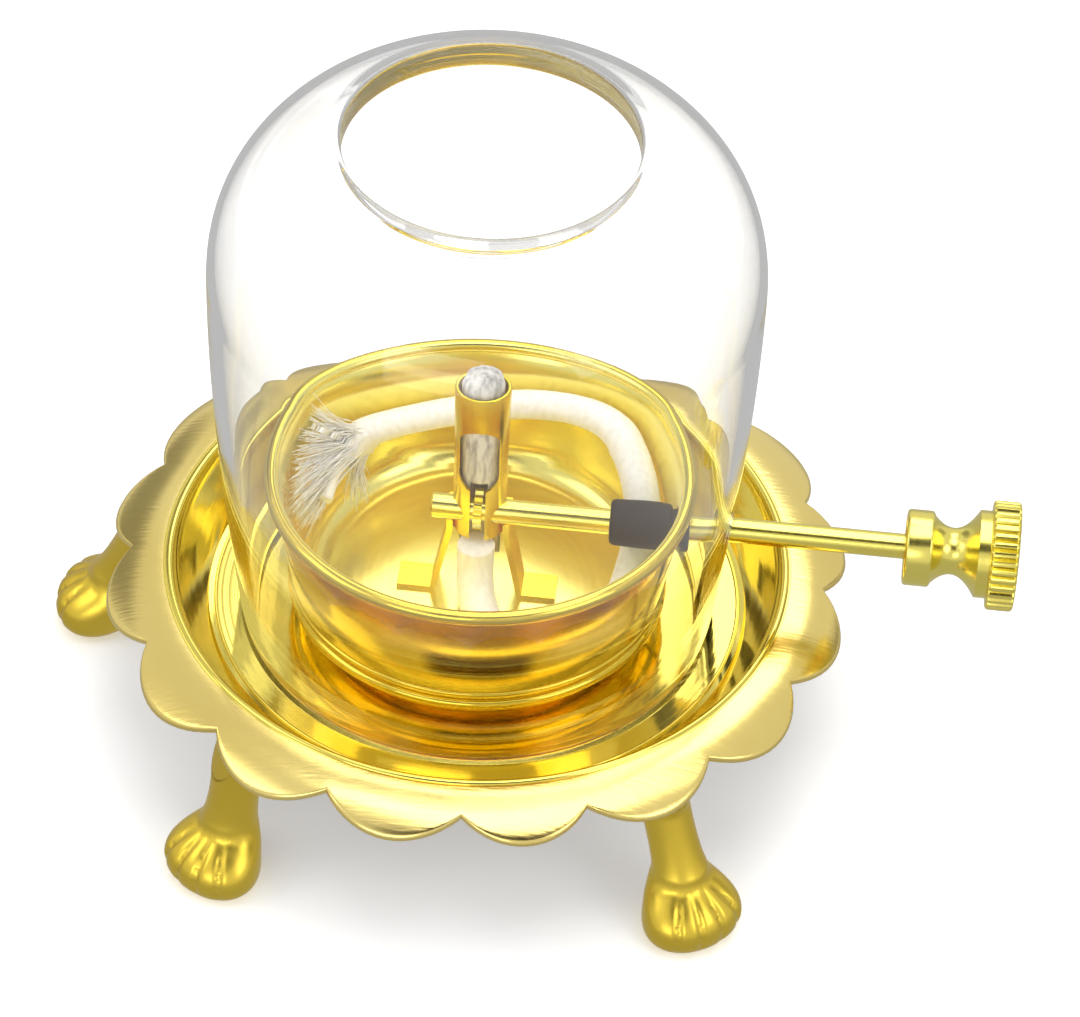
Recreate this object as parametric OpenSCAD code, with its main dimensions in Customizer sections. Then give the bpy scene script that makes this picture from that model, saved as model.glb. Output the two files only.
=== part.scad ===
// Akhand diya: a brass oil lamp on a scalloped five-footed plate, with a wick
// winder and a lift-off glass chimney. Millimetres. The origin is on the lamp's
// axis at the floor, +Z is up and +X runs along the winder's shaft to its knob.

/* [Oil bowl] */
// Outer radius of the rolled rim
bowl_rim_r = 36.1; // [34:0.1:40]
// Radius of the roll on the rim
bowl_bead_r = 1.2; // [0.8:0.1:1.6]
// Height of the bowl, from the dish's floor to the top of its rim
bowl_h = 31.1; // [29:0.1:36]
// Outer radius of the wall at the lower ring
bowl_base_r = 31.3; // [29.5:0.1:32.5]
// Height of the lower ring above the dish's floor
bowl_ring_h = 6.5; // [5.5:0.1:8]
// Radius of the lower ring's section
bowl_ring_r = 0.9; // [0.5:0.1:1.2]
// Radius of the fine ring's section above it
fine_ring_r = 0.45; // [0.3:0.05:0.7]
// Distance between the two rings
ring_step = 2.6; // [2:0.1:3.5]
// Thickness of the wall
bowl_wall = 1.2; // [1:0.1:1.6]
// Thickness of the bowl's floor
bowl_floor_t = 1.5; // [1:0.1:2]
// Radius of the round between the inner wall and the floor
bowl_round_r = 5; // [3:0.5:6]
// Outer radius of the standing ring
bowl_foot_r = 25.5; // [20:0.5:26]
// Width of the standing ring
bowl_foot_w = 2; // [1.5:0.1:4]
// Height of the standing ring
bowl_foot_h = 1.7; // [1.2:0.1:2.5]

/* [Plate] */
// Height of the flat rim's top above the floor
rim_z = 27; // [25:0.5:34]
// Thickness of the sheet
plate_t = 1.2; // [0.8:0.1:1.6]
// Depth of the dish below the rim
dish_depth = 8.7; // [7:0.1:10]
// Run of the dish's sloping wall
dish_wall_run = 6.5; // [4:0.5:9]
// Room on the dish's floor outside the chimney
seat_margin = 5.5; // [4:0.5:8]
// Width of the rim from the dish to the notches
rim_w = 6.5; // [5:0.1:9]
// Height of a petal above its notches
petal_h = 4.4; // [3:0.1:5]
// Width of the rim's flat part, from the dish's edge to where it starts to fall
rim_flat = 1; // [0.8:0.1:2]
// Drop of the petals' tips below that flat part
rim_droop = 3.2; // [1:0.1:4]
// Radius of the raised line along the dish's edge
edge_line_r = 0.7; // [0.4:0.1:0.9]
// Height of that line above the rim
edge_line_h = 0.35; // [0.1:0.05:0.5]
// Radius of the ring line at the foot of the dish's wall
dish_line_r = 0.6; // [0.3:0.1:0.8]
// Distance from the foot of the wall to that ring line
dish_line_in = 1.2; // [0.8:0.1:2]

/* [Feet] */
// Radius of a leg where it meets the plate
leg_top_r = 4.8; // [4:0.1:5.5]
// Radius of the leg's slender part
leg_r = 4.1; // [3.4:0.1:4.6]
// Room between the dish's edge and a leg
leg_gap = 1.2; // [1:0.1:2]
// Height of the ankle above the floor
ankle_h = 11; // [9:0.5:13]
// Number of toes on a paw
toe_count = 5; // [3:1:5]
// Radius of a toe's tip
toe_r = 2.6; // [2:0.1:3]
// Depth that the sole cuts into a toe's tip
toe_sink = 0.4; // [0.1:0.1:0.6]
// Radius of a toe's knuckle
knuckle_r = 3.8; // [3:0.1:4.2]
// Distance of the knuckles from the ankle
knuckle_out = 4.9; // [4:0.1:6]
// Height of the knuckles' underside above the floor
knuckle_lift = 0.5; // [0.2:0.1:1]
// Length of a toe from the ankle to the middle of its tip
toe_len = 8.5; // [7:0.1:10]
// Angle between the outermost toes
toe_spread = 88; // [60:1:100]
// Radius of the heel
heel_r = 4.8; // [4:0.1:5.4]
// Distance of the heel outwards from the ankle
heel_out = 1.2; // [0:0.1:2]
// Height of the heel's underside above the floor
heel_lift = 0.3; // [0:0.1:1]
// Radius of the web that joins the toes to the heel
web_r = 4.4; // [3.5:0.1:4.8]
// Radius of the flat sole round the heel
sole_heel_r = 3.4; // [2:0.1:3.8]
// Radius of the flat sole round a toe's tip
sole_toe_r = 1.9; // [1:0.1:2.2]
// Thickness of the flat sole
sole_t = 1.2; // [0.8:0.1:1.6]

/* [Chimney] */
// Thickness of the glass in the wall
glass_t = 2.2; // [1.8:0.1:2.6]
// Thickness of the glass at the crown
crown_t = 4.5; // [3:0.1:5]
// Room between the bowl's rim and the chimney's foot
chimney_gap = 1.7; // [1.4:0.1:3]
// Growth of the radius from the foot to the widest place
chimney_flare = 4.7; // [2:0.1:6]
// Height of the widest place above the foot
chimney_widest_h = 70.5; // [64:0.5:80]
// Height of the full dome above the widest place
dome_h = 32.8; // [28:0.1:38]
// Squareness of the dome's curve, where 2 is an ellipse
dome_power = 2.3; // [1.9:0.1:3]
// Radius of the mouth
mouth_r = 23.4; // [18:0.1:28]
// Room on each side of the shaft in the chimney's slot
slot_gap = 1.4; // [0.8:0.1:2]

/* [Wick tube] */
// Outer diameter of the tube
tube_d = 9; // [8.6:0.1:10]
// Thickness of the tube's wall
tube_wall = 0.6; // [0.4:0.05:0.8]
// Height of the tube's top above the bowl's rim
tube_rise = 18.7; // [16:0.1:22]
// Depth of the tube's lower end below the shaft's axis
tube_below = 4.5; // [3.5:0.1:6]
// Width of the window above the shaft
window_w = 6.6; // [4:0.1:7]
// Height of the window
window_h = 13.7; // [9:0.1:15]
// Height of the window's lower end above the shaft's axis
window_above = 5.9; // [5:0.1:7]
// Width of the slit that the spur wheel turns in
slit_w = 2.6; // [2.2:0.1:3]
// Thickness of the stand's strip
strip_t = 0.8; // [0.5:0.1:1.2]
// Width of the stand's strip
strip_w = 5.6; // [4:0.1:6.4]
// Height of the stand's upright strips beside the tube
strip_up = 3.4; // [2.5:0.1:5]
// Distance of a stand's ankle from the axis
stand_reach = 7; // [6:0.1:9]
// Length of a stand's flat tab on the floor
tab_len = 6.5; // [4:0.1:8]

/* [Winder] */
// Diameter of the shaft
shaft_d = 4.2; // [3.6:0.1:4.6]
// Depth of the shaft's axis below the bowl's rim
shaft_drop = 9; // [7.5:0.1:10]
// Room between the shaft and the front of the tube's bore
shaft_front_room = 0.1; // [0.05:0.05:0.4]
// Length of the shaft past the tube's axis
shaft_tail = 8; // [6:0.5:10]
// Radius of the spur wheel over its teeth
wheel_r = 3.4; // [3:0.1:3.7]
// Depth of the spur wheel's teeth
tooth_h = 0.7; // [0.4:0.1:0.9]
// Number of teeth
tooth_count = 14; // [10:1:18]
// Width of a tooth's tip as a share of the way from tooth to tooth
tooth_tip = 0.2; // [0.1:0.05:0.3]
// Width of a tooth's foot as a share of the way from tooth to tooth
tooth_foot = 0.8; // [0.6:0.05:0.9]
// Thickness of the spur wheel
wheel_t = 1.4; // [1:0.1:1.8]
// Outer diameter of the rubber bush
bush_d = 8; // [7:0.1:9]
// Length of the bush inside the bowl
bush_in = 12; // [9:0.5:14]
// Thickness of the bush's lip outside the bowl
bush_lip = 1.6; // [1:0.1:2]
// Diameter of the bush where it passes through the wall
bush_neck_d = 6.2; // [5.6:0.1:6.8]
// Distance of the knob past the tips of the petals
knob_gap = 8.1; // [4:0.1:14]
// Diameter of the knob's collar
collar_d = 12.7; // [11:0.1:14]
// Length of the knob's collar
collar_len = 4.6; // [3.5:0.1:6]
// Diameter of the knob's waist
waist_d = 7.8; // [7:0.1:9]
// Length of the waist's hollow curve
waist_len = 7.4; // [6:0.1:9]
// Distance of the waist's narrowest place from the collar
waist_low = 3.3; // [2.5:0.1:4]
// Diameter of the cylindrical step below the knurled rim
step_d = 14.6; // [13:0.1:16]
// Length of that step
step_len = 2; // [1:0.1:3]
// Diameter of the knurled rim
knurl_d = 18.2; // [16.5:0.1:20]
// Length of the knurled rim
knurl_len = 4.6; // [3.5:0.1:6]
// Number of flutes on the rim
flute_count = 36; // [24:1:44]
// Radius of a flute
flute_r = 0.55; // [0.4:0.05:0.65]
// Width of the knob's rounded edges
knob_edge = 0.6; // [0.3:0.1:0.9]
// Width of the raised border round the knob's two faces
knob_border = 1.2; // [0.8:0.1:2]
// Depth of the hollow inside those borders
knob_hollow = 0.8; // [0.3:0.1:1.2]
// Depth of the shaft's hole in the knob
knob_hole = 10; // [6:0.5:12]

/* [Wick] */
// Room between the wick and the tube
wick_gap = 0.35; // [0.2:0.05:0.5]
// Height of the wick's tip above the tube
wick_out = 4; // [2:0.1:6]
// Length of wick below the shaft's axis
wick_below = 12; // [11:0.5:13]
// Travel of the wick below its rest place
wick_down = 3; // [1:0.5:4]
// Diameter of the loose wick in the bowl
tail_d = 6.4; // [5.6:0.1:6.4]

/* [Fastening] */
// Diameter of the threaded stud below the bowl
stud_d = 6; // [5:0.5:8]
// Diameter of the boss round the stud
boss_d = 12; // [10:0.5:16]
// Length of stud that stands out of the nut
stud_out = 1.2; // [0.5:0.1:2]
// Diameter of the washer
washer_d = 14; // [12:0.5:18]
// Thickness of the washer
washer_t = 1; // [0.6:0.1:1.5]
// Width of the nut across its flats
nut_af = 10; // [9:0.5:13]
// Thickness of the nut
nut_h = 3.2; // [2.5:0.1:4]

/* [Fits] */
// Radial room of the shaft in its bearings
run_fit = 0.05; // [0.02:0.01:0.1]
// Radial room between pieces that are fixed to each other
fixed_fit = 0.02; // [0.01:0.01:0.05]
// Radial room of the stud in the plate
stud_room = 0.2; // [0.1:0.05:0.4]
// Room between the wick and what turns beside it
wick_room = 0.4; // [0.3:0.05:0.6]

/* [Hidden] */
$fn = 64;
over = 0.5;
big = 400;

// Radii from the bowl outwards
bowl_top_r = bowl_rim_r - bowl_bead_r;
chimney_foot_r = bowl_rim_r + chimney_gap + glass_t;
chimney_max_r = chimney_foot_r + chimney_flare;
dish_floor_r = chimney_foot_r + seat_margin;
dish_r = dish_floor_r + dish_wall_run;
notch_r = dish_r + rim_w;
petal_tip_r = notch_r + petal_h;
droop_from_r = dish_r + rim_flat;
droop_to_r = petal_tip_r + over;
droop_steps = 6;

// Heights from the floor upwards
plate_under = rim_z - plate_t;
dish_z = rim_z - dish_depth;
bowl_under = dish_z + bowl_foot_h;
bowl_floor_z = bowl_under + bowl_floor_t;
bowl_ring_z = dish_z + bowl_ring_h;
bowl_rim_z = dish_z + bowl_h;
shaft_z = bowl_rim_z - shaft_drop;
tube_top_z = bowl_rim_z + tube_rise;
tube_low_z = shaft_z - tube_below;
window_low_z = shaft_z + window_above;
chimney_wide_z = dish_z + chimney_widest_h;
stud_low_z = dish_z - plate_t - washer_t - nut_h - stud_out;

// The winder
tube_in_r = tube_d / 2 - tube_wall;
shaft_r = shaft_d / 2;
shaft_y = shaft_r + shaft_front_room - tube_in_r;
knob_x = petal_tip_r + knob_gap;
knob_len = collar_len + waist_len + step_len + knurl_len;

// The wick in its tube
wick_r = tube_in_r - wick_gap;
flat_y = shaft_y + shaft_r + wick_room;
groove_y = shaft_y + wheel_r + wick_room;
flat_top_z = shaft_z + shaft_r + wick_room + wick_down;
groove_top_z = shaft_z + wheel_r + wick_room + wick_down;

// Angles of the notches between the petals, which are cut by hand
petal_notches = [
    1, 22, 45, 68, 91, 113.5, 136, 164, 184.5, 207, 230, 252, 274, 294, 316.5, 338.5
];

// Angles of the feet round the lamp, and the distance of each ankle outwards from
// its leg's top: left, front left, front right, back right, back
foot_angles = [175.5, 234.5, 308, 52, 108];
ankle_outs = [4.6, 1.8, 5.4, 3.5, 3.5];
foot_r = dish_r + leg_gap + leg_top_r;

// Route of the loose wick: down in front of the shaft, to the right along the
// bowl's floor, up under the bush, and round the back to the left
tail_route = [
    [0, -4.5, 35], [0, -4.9, 32], [0.2, -6.3, 29], [0.9, -8.9, 26.6], [2.4, -12.3, 25.3],
    [4.9, -15.9, 25], [8.3, -18.7, 25], [12.3, -19.7, 25.2], [16.4, -18.7, 25.6], [20, -15.9, 26.2],
    [22.9, -12, 27], [25, -7.4, 28.3], [26.4, -2.5, 30.4], [27.2, 2.5, 33.2], [27, 7.6, 36.2],
    [25.5, 12.8, 38.8], [22.6, 17.8, 40.6], [18.3, 22.2, 41.4], [12.7, 25.6, 41.2], [6.1, 27.7, 40.1],
    [-0.8, 28.1, 38.7], [-7.4, 26.9, 37.2], [-13.4, 24.3, 36.4], [-18.3, 20.7, 36.3], [-22, 16.5, 36.7],
    [-24.6, 12, 36.7], [-26.1, 7.5, 35.8], [-26.7, 3, 34.2]
];
tail_sides = 10;

brass = [0.86, 0.68, 0.24];
satin_brass = [0.84, 0.70, 0.30];
deep_brass = [0.76, 0.55, 0.14];
cotton = [0.95, 0.94, 0.91];
rubber = [0.26, 0.21, 0.19];
clear_glass = [0.85, 0.92, 0.94, 0.3];

// Points on an arc round a centre
function arc(centre, r, from, to, steps) =
    [for (i = [0 : steps]) let (a = from + (to - from) * i / steps) centre + r * [cos(a), sin(a)]];

// Outer radius of the bowl's wall at a height
function wall_r(z) =
    bowl_base_r + (bowl_top_r - bowl_base_r) * (z - bowl_ring_z) / (bowl_rim_z - bowl_bead_r - bowl_ring_z);

// Radius of the chimney's lower wall at a share of the way to its widest place
function flare_r(share, inset) = chimney_foot_r - inset + chimney_flare * sin(90 * share);

// A point on the dome's curve, with its widest radius and its full height
function dome_point(wide, high, angle) =
    [wide * pow(cos(angle), 2 / dome_power), chimney_wide_z + high * pow(sin(angle), 2 / dome_power)];

// Angle on the dome's curve at which it reaches the mouth
function mouth_angle(wide) = acos(pow(mouth_r / wide, dome_power / 2));

function unit(v) = v / norm(v);
function tail_heading(i) =
    unit(tail_route[min(i + 1, len(tail_route) - 1)] - tail_route[max(i - 1, 0)]);
function tail_side(i) =
    i == 0 ? [1, 0, 0] : let (last = tail_side(i - 1), way = tail_heading(i)) unit(last - (last * way) * way);

// Lays a shape that is turned about +Z along the shaft's axis, from a distance along it
module on_shaft(from = 0) {
    translate([from, shaft_y, shaft_z]) rotate([0, 90, 0]) children();
}

// One round petal between two notches
module petal(from, to) {
    half = (to - from) / 2;
    centre_r = (pow(petal_tip_r, 2) - pow(notch_r, 2)) / (2 * (petal_tip_r - notch_r * cos(half)));
    rotate(from + half) translate([centre_r, 0]) circle(r = petal_tip_r - centre_r);
}

// The plate's outline: a ring of round petals
module petal_outline() {
    last = len(petal_notches) - 1;
    circle(r = notch_r - over, $fn = 120);
    for (i = [0 : last])
        petal(petal_notches[i], i < last ? petal_notches[i + 1] : petal_notches[0] + 360);
}

// Drop of the rim at a radius
function rim_drop(r) = rim_droop * pow((r - droop_from_r) / (petal_tip_r - droop_from_r), 2);

// The rim's curve, at a depth below its top
function rim_curve(depth) = [for (i = [0 : droop_steps])
    let (r = droop_from_r + (droop_to_r - droop_from_r) * i / droop_steps) [r, rim_z - depth - rim_drop(r)]];

function reversed(points) = [for (i = [len(points) - 1 : -1 : 0]) points[i]];

// All the room under the rim
module under_rim() {
    rotate_extrude($fn = 120) polygon(concat(
        [[0, 0], [0, plate_under]], rim_curve(plate_t),
        [[big, rim_z - plate_t - rim_drop(droop_to_r)], [big, 0]]
    ));
}

module base_plate() {
    corner = plate_t * tan(atan2(dish_depth, dish_wall_run) / 2);
    color(brass) {
        intersection() {
            linear_extrude(rim_z + over) petal_outline();
            rotate_extrude($fn = 120) polygon(concat(
                [[dish_r, rim_z]], rim_curve(0), reversed(rim_curve(plate_t)), [[dish_r, plate_under]]
            ));
        }
        rotate_extrude($fn = 120) polygon([
            [stud_d / 2 + stud_room, dish_z], [dish_floor_r, dish_z], [dish_r, rim_z],
            [dish_r + over, rim_z], [dish_r + corner, plate_under],
            [dish_floor_r + corner, dish_z - plate_t], [stud_d / 2 + stud_room, dish_z - plate_t]
        ]);
        rotate_extrude($fn = 120)
            translate([dish_r, rim_z + edge_line_h - edge_line_r]) circle(r = edge_line_r);
        rotate_extrude($fn = 120) translate([dish_floor_r - dish_line_in, dish_z]) circle(r = dish_line_r);
    }
}

// A ball of a foot: its distance outwards from the leg's top, sideways and up
module ball(out, side, up, r) {
    translate([foot_r + out, side, up]) sphere(r = r, $fn = 18);
}

// A ball on one toe, at a distance from the ankle
module toe_ball(ankle_out, turn, far, up, r) {
    ball(ankle_out + far * cos(turn), far * sin(turn), up, r);
}

// A round of the flat sole
module sole_round(out, side, r) {
    translate([foot_r + out, side, 0]) cylinder(r = r, h = sole_t, $fn = 18);
}

// The round of the sole under a toe's tip
module toe_round(ankle_out, turn) {
    sole_round(ankle_out + toe_len * cos(turn), toe_len * sin(turn), sole_toe_r);
}

// Turn of a toe from the middle of its paw
function toe_turn(k) = toe_spread * (k / (toe_count - 1) - 0.5);

// A cast paw foot: a slender leg that runs out into a paw, its sole flat on the floor
module paw_foot(i) {
    ankle_out = ankle_outs[i];
    knee_z = plate_under - leg_top_r;
    heel_z = heel_r + heel_lift;
    color(satin_brass) rotate(foot_angles[i]) intersection() {
        union() {
            hull() {
                translate([foot_r, 0, plate_under - over]) cylinder(r = leg_top_r, h = plate_t, $fn = 24);
                ball(0, 0, knee_z, leg_r);
            }
            hull() {
                ball(0, 0, knee_z, leg_r);
                ball(ankle_out, 0, ankle_h, leg_r);
            }
            hull() {
                ball(ankle_out, 0, ankle_h, leg_r);
                ball(ankle_out + heel_out, 0, heel_z, heel_r);
            }
            for (k = [0 : toe_count - 1]) {
                hull() {
                    ball(ankle_out + heel_out, 0, heel_z, web_r);
                    toe_ball(ankle_out, toe_turn(k), knuckle_out, knuckle_r + knuckle_lift, knuckle_r);
                }
                hull() {
                    toe_ball(ankle_out, toe_turn(k), knuckle_out, knuckle_r + knuckle_lift, knuckle_r);
                    toe_ball(ankle_out, toe_turn(k), toe_len, toe_r - toe_sink, toe_r);
                }
            }
            hull() {
                sole_round(ankle_out + heel_out, 0, sole_heel_r);
                for (k = [0 : toe_count - 1])
                    toe_round(ankle_out, toe_turn(k));
            }
        }
        under_rim();
    }
}

module oil_bowl() {
    base_round = bowl_ring_z - bowl_under;
    round_z = bowl_floor_z + bowl_round_r;
    inner_r = wall_r(round_z) - bowl_wall;
    bead_z = bowl_rim_z - bowl_bead_r;
    fine_ring_z = bowl_ring_z + ring_step;
    color(brass) {
        difference() {
            union() {
                rotate_extrude($fn = 120) polygon(concat(
                    [[0, bowl_under]],
                    arc([bowl_base_r - base_round, bowl_ring_z], base_round, -90, 0, 8),
                    [[bowl_top_r, bead_z], [bowl_top_r - bowl_wall, bead_z]],
                    arc([inner_r - bowl_round_r, round_z], bowl_round_r, 0, -90, 8),
                    [[0, bowl_floor_z]]
                ));
                rotate_extrude($fn = 120) translate([bowl_top_r, bead_z]) circle(r = bowl_bead_r);
                rotate_extrude($fn = 120) translate([bowl_base_r, bowl_ring_z]) circle(r = bowl_ring_r);
                rotate_extrude($fn = 120)
                    translate([wall_r(fine_ring_z), fine_ring_z]) circle(r = fine_ring_r);
            }
            on_shaft() cylinder(d = bush_neck_d, h = big);
        }
        rotate_extrude($fn = 120)
            translate([bowl_foot_r - bowl_foot_w, dish_z]) square([bowl_foot_w, bowl_foot_h + over]);
        translate([0, 0, dish_z]) cylinder(d = boss_d, h = bowl_foot_h + over);
        translate([0, 0, stud_low_z]) cylinder(d = stud_d, h = bowl_under - stud_low_z + over);
    }
}

module bowl_washer() {
    color(satin_brass) translate([0, 0, dish_z - plate_t - washer_t]) difference() {
        cylinder(d = washer_d, h = washer_t);
        translate([0, 0, -over]) cylinder(r = stud_d / 2 + stud_room, h = washer_t + 2 * over);
    }
}

module bowl_nut() {
    color(satin_brass) translate([0, 0, dish_z - plate_t - washer_t - nut_h]) difference() {
        cylinder(d = nut_af / cos(30), h = nut_h, $fn = 6);
        translate([0, 0, -over]) cylinder(r = stud_d / 2 + fixed_fit, h = nut_h + 2 * over);
    }
}

// The window's outline in the tube's front, drawn across the tube
module window_cut() {
    end_r = window_w / 2;
    translate([0, 0, window_low_z]) rotate([90, 0, 0]) linear_extrude(tube_d) {
        translate([0, end_r]) circle(r = end_r);
        translate([0, window_h - end_r]) circle(r = end_r);
        translate([-end_r, end_r]) square([window_w, window_h - window_w]);
    }
}

module wick_tube() {
    tall = tube_top_z - tube_low_z;
    color(brass) difference() {
        translate([0, 0, tube_low_z]) cylinder(d = tube_d, h = tall);
        translate([0, 0, tube_low_z - over]) cylinder(r = tube_in_r, h = tall + 2 * over);
        window_cut();
        translate([-slit_w / 2, -tube_d, tube_low_z - over])
            cube([slit_w, tube_d, window_low_z + window_w / 2 - tube_low_z + over]);
        on_shaft(-tube_d) cylinder(r = shaft_r + run_fit, h = 2 * tube_d);
    }
}

// One leg of the tube's stand: a strip that hugs the tube, splays out and ends in a tab
module stand_leg() {
    top_z = tube_low_z + strip_up;
    tab_z = bowl_floor_z + strip_t;
    in_x = tube_in_r + tube_wall / 2;
    color(deep_brass) difference() {
        translate([0, strip_w / 2, 0]) rotate([90, 0, 0]) linear_extrude(strip_w) polygon([
            [in_x, tube_low_z], [stand_reach, bowl_floor_z], [stand_reach + tab_len, bowl_floor_z],
            [stand_reach + tab_len, tab_z], [stand_reach + strip_t, tab_z],
            [tube_d / 2 + strip_t, tube_low_z], [tube_d / 2 + strip_t, top_z], [in_x, top_z]
        ]);
        translate([0, 0, tube_low_z]) cylinder(r = tube_d / 2 + fixed_fit, h = strip_up + over);
        on_shaft() cylinder(r = shaft_r + wick_room, h = big);
    }
}

module tube_stand() {
    stand_leg();
    mirror([1, 0, 0]) stand_leg();
}

module winder_shaft() {
    color(brass) on_shaft(-shaft_tail) cylinder(d = shaft_d, h = shaft_tail + knob_x + knob_hole - over);
}

module spur_wheel() {
    pitch = 360 / tooth_count;
    root_r = wheel_r - tooth_h;
    rise = (tooth_foot - tooth_tip) / 2;
    tooth = [[0, root_r], [rise, wheel_r], [tooth_foot - rise, wheel_r], [tooth_foot, root_r]];
    color(deep_brass) on_shaft(-wheel_t / 2) linear_extrude(wheel_t) difference() {
        polygon([for (i = [0 : tooth_count - 1], corner = tooth) let (a = (i + corner[0]) * pitch)
            corner[1] * [cos(a), sin(a)]]);
        circle(r = shaft_r + fixed_fit);
    }
}

// Radius of the knob's waist at a distance from the collar
function waist_curve_r(x) = waist_d / 2
    + (collar_d / 2 - knob_edge - waist_d / 2) * pow(max(0, 1 - x / waist_low), 2)
    + (step_d / 2 - waist_d / 2) * pow(max(0, (x - waist_low) / (waist_len - waist_low)), 2);

module winder_knob() {
    collar_r = collar_d / 2;
    knurl_r = knurl_d / 2;
    rim_x = collar_len + waist_len + step_len;
    color(brass) on_shaft(knob_x) difference() {
        rotate_extrude() polygon(concat(
            [[0, knob_hollow], [collar_r - knob_border - knob_hollow, knob_hollow]],
            [[collar_r - knob_border, 0], [collar_r, knob_edge], [collar_r, collar_len - knob_edge]],
            [for (i = [0 : 10]) [waist_curve_r(waist_len * i / 10), collar_len + waist_len * i / 10]],
            [[step_d / 2, rim_x], [knurl_r - knob_edge, rim_x], [knurl_r, rim_x + knob_edge]],
            [[knurl_r, knob_len - knob_edge], [knurl_r - knob_edge, knob_len]],
            [[knurl_r - knob_border, knob_len]],
            [[knurl_r - knob_border - knob_hollow, knob_len - knob_hollow], [0, knob_len - knob_hollow]]
        ));
        translate([0, 0, -over]) cylinder(r = shaft_r + fixed_fit, h = knob_hole + over);
        for (i = [0 : flute_count - 1])
            rotate(i * 360 / flute_count) translate([knurl_r, 0, rim_x - over])
                cylinder(r = flute_r, h = knurl_len + 2 * over, $fn = 16);
    }
}

// A grommet that seals the shaft's way through the bowl's wall
module shaft_bush() {
    wall_x = wall_r(shaft_z);
    low_r = wall_r(bowl_ring_z);
    high_r = wall_r(bowl_rim_z);
    color(rubber) difference() {
        on_shaft(wall_x - bowl_wall - bush_in) cylinder(d = bush_d, h = bush_in + bowl_wall + bush_lip);
        difference() {
            rotate_extrude($fn = 120) polygon([
                [low_r - bowl_wall - fixed_fit, bowl_ring_z], [low_r + fixed_fit, bowl_ring_z],
                [high_r + fixed_fit, bowl_rim_z], [high_r - bowl_wall - fixed_fit, bowl_rim_z]
            ]);
            on_shaft() cylinder(r = bush_neck_d / 2 - fixed_fit, h = big);
        }
        on_shaft() cylinder(r = shaft_r + run_fit, h = big);
    }
}

// The wick in its tube, pressed flat where it passes the shaft and its wheel
module wick() {
    low_z = shaft_z - wick_below;
    dome_z = tube_top_z + wick_out - wick_r;
    color(cotton) difference() {
        union() {
            translate([0, 0, low_z]) cylinder(r = wick_r, h = dome_z - low_z);
            translate([0, 0, dome_z]) sphere(r = wick_r);
        }
        translate([-big / 2, -big + flat_y, low_z - over]) cube([big, big, flat_top_z - low_z + over]);
        translate([-wheel_t / 2 - wick_room, -big + groove_y, low_z - over])
            cube([wheel_t + 2 * wick_room, big, groove_top_z - low_z + over]);
    }
}

// The loose wick in the bowl, one tube along its route
module wick_tail() {
    last = len(tail_route) - 1;
    rings = [for (i = [0 : last]) let (side = tail_side(i), up = cross(tail_heading(i), side))
        for (k = [0 : tail_sides - 1]) let (turn = 360 * k / tail_sides)
            tail_route[i] + tail_d / 2 * (cos(turn) * side + sin(turn) * up)];
    walls = [for (i = [0 : last - 1], k = [0 : tail_sides - 1])
        let (a = i * tail_sides + k, b = i * tail_sides + (k + 1) % tail_sides)
            each [[a, a + tail_sides, b + tail_sides], [a, b + tail_sides, b]]];
    start_cap = [for (k = [0 : tail_sides - 1]) k];
    end_cap = [for (k = [tail_sides - 1 : -1 : 0]) last * tail_sides + k];
    color(cotton) polyhedron(points = rings, faces = concat([start_cap, end_cap], walls));
}

module glass_chimney() {
    inner_wide = chimney_max_r - glass_t;
    inner_high = dome_h - crown_t;
    outer_end = mouth_angle(chimney_max_r);
    inner_end = mouth_angle(inner_wide);
    color(clear_glass) difference() {
        rotate_extrude($fn = 120) polygon(concat(
            [for (i = [0 : 9]) [flare_r(i / 10, 0), dish_z + chimney_widest_h * i / 10]],
            [for (i = [0 : 12]) dome_point(chimney_max_r, dome_h, outer_end * i / 12)],
            [for (i = [12 : -1 : 0]) dome_point(inner_wide, inner_high, inner_end * i / 12)],
            [for (i = [9 : -1 : 0]) [flare_r(i / 10, glass_t), dish_z + chimney_widest_h * i / 10]]
        ));
        on_shaft() cylinder(r = shaft_r + slot_gap, h = big);
        translate([0, shaft_y - shaft_r - slot_gap, 0]) cube([big, shaft_d + 2 * slot_gap, shaft_z]);
    }
}

base_plate();
paw_foot(0);  // foot_left
paw_foot(1);  // foot_front_left
paw_foot(2);  // foot_front_right
paw_foot(3);  // foot_back_right
paw_foot(4);  // foot_back
oil_bowl();
bowl_washer();
bowl_nut();
wick_tube();
tube_stand();
winder_shaft();
spur_wheel();
winder_knob();
shaft_bush();
wick();
wick_tail();
glass_chimney();
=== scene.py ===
import math
import random

import bmesh
import bpy
from mathutils import Matrix, Vector, noise


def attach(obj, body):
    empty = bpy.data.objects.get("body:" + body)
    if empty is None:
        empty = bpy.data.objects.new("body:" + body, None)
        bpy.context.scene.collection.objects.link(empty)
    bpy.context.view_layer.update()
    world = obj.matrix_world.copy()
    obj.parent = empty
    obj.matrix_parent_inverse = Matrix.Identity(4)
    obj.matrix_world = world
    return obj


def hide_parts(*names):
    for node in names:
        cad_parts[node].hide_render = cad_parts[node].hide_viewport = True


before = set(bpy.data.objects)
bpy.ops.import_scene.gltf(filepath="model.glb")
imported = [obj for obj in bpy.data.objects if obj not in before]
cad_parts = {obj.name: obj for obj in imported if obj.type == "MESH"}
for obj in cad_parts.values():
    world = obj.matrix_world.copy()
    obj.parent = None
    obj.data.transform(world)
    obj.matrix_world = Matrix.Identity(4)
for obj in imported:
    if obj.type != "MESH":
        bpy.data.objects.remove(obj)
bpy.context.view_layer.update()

# Akhand diya: a brass oil lamp with a wick winder and a lift-off glass chimney.
# Lengths are in millimetres and turn to metres only where a mesh is made.
random.seed(11)

MM = 0.001
FULL_TURN = 2 * math.pi
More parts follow.
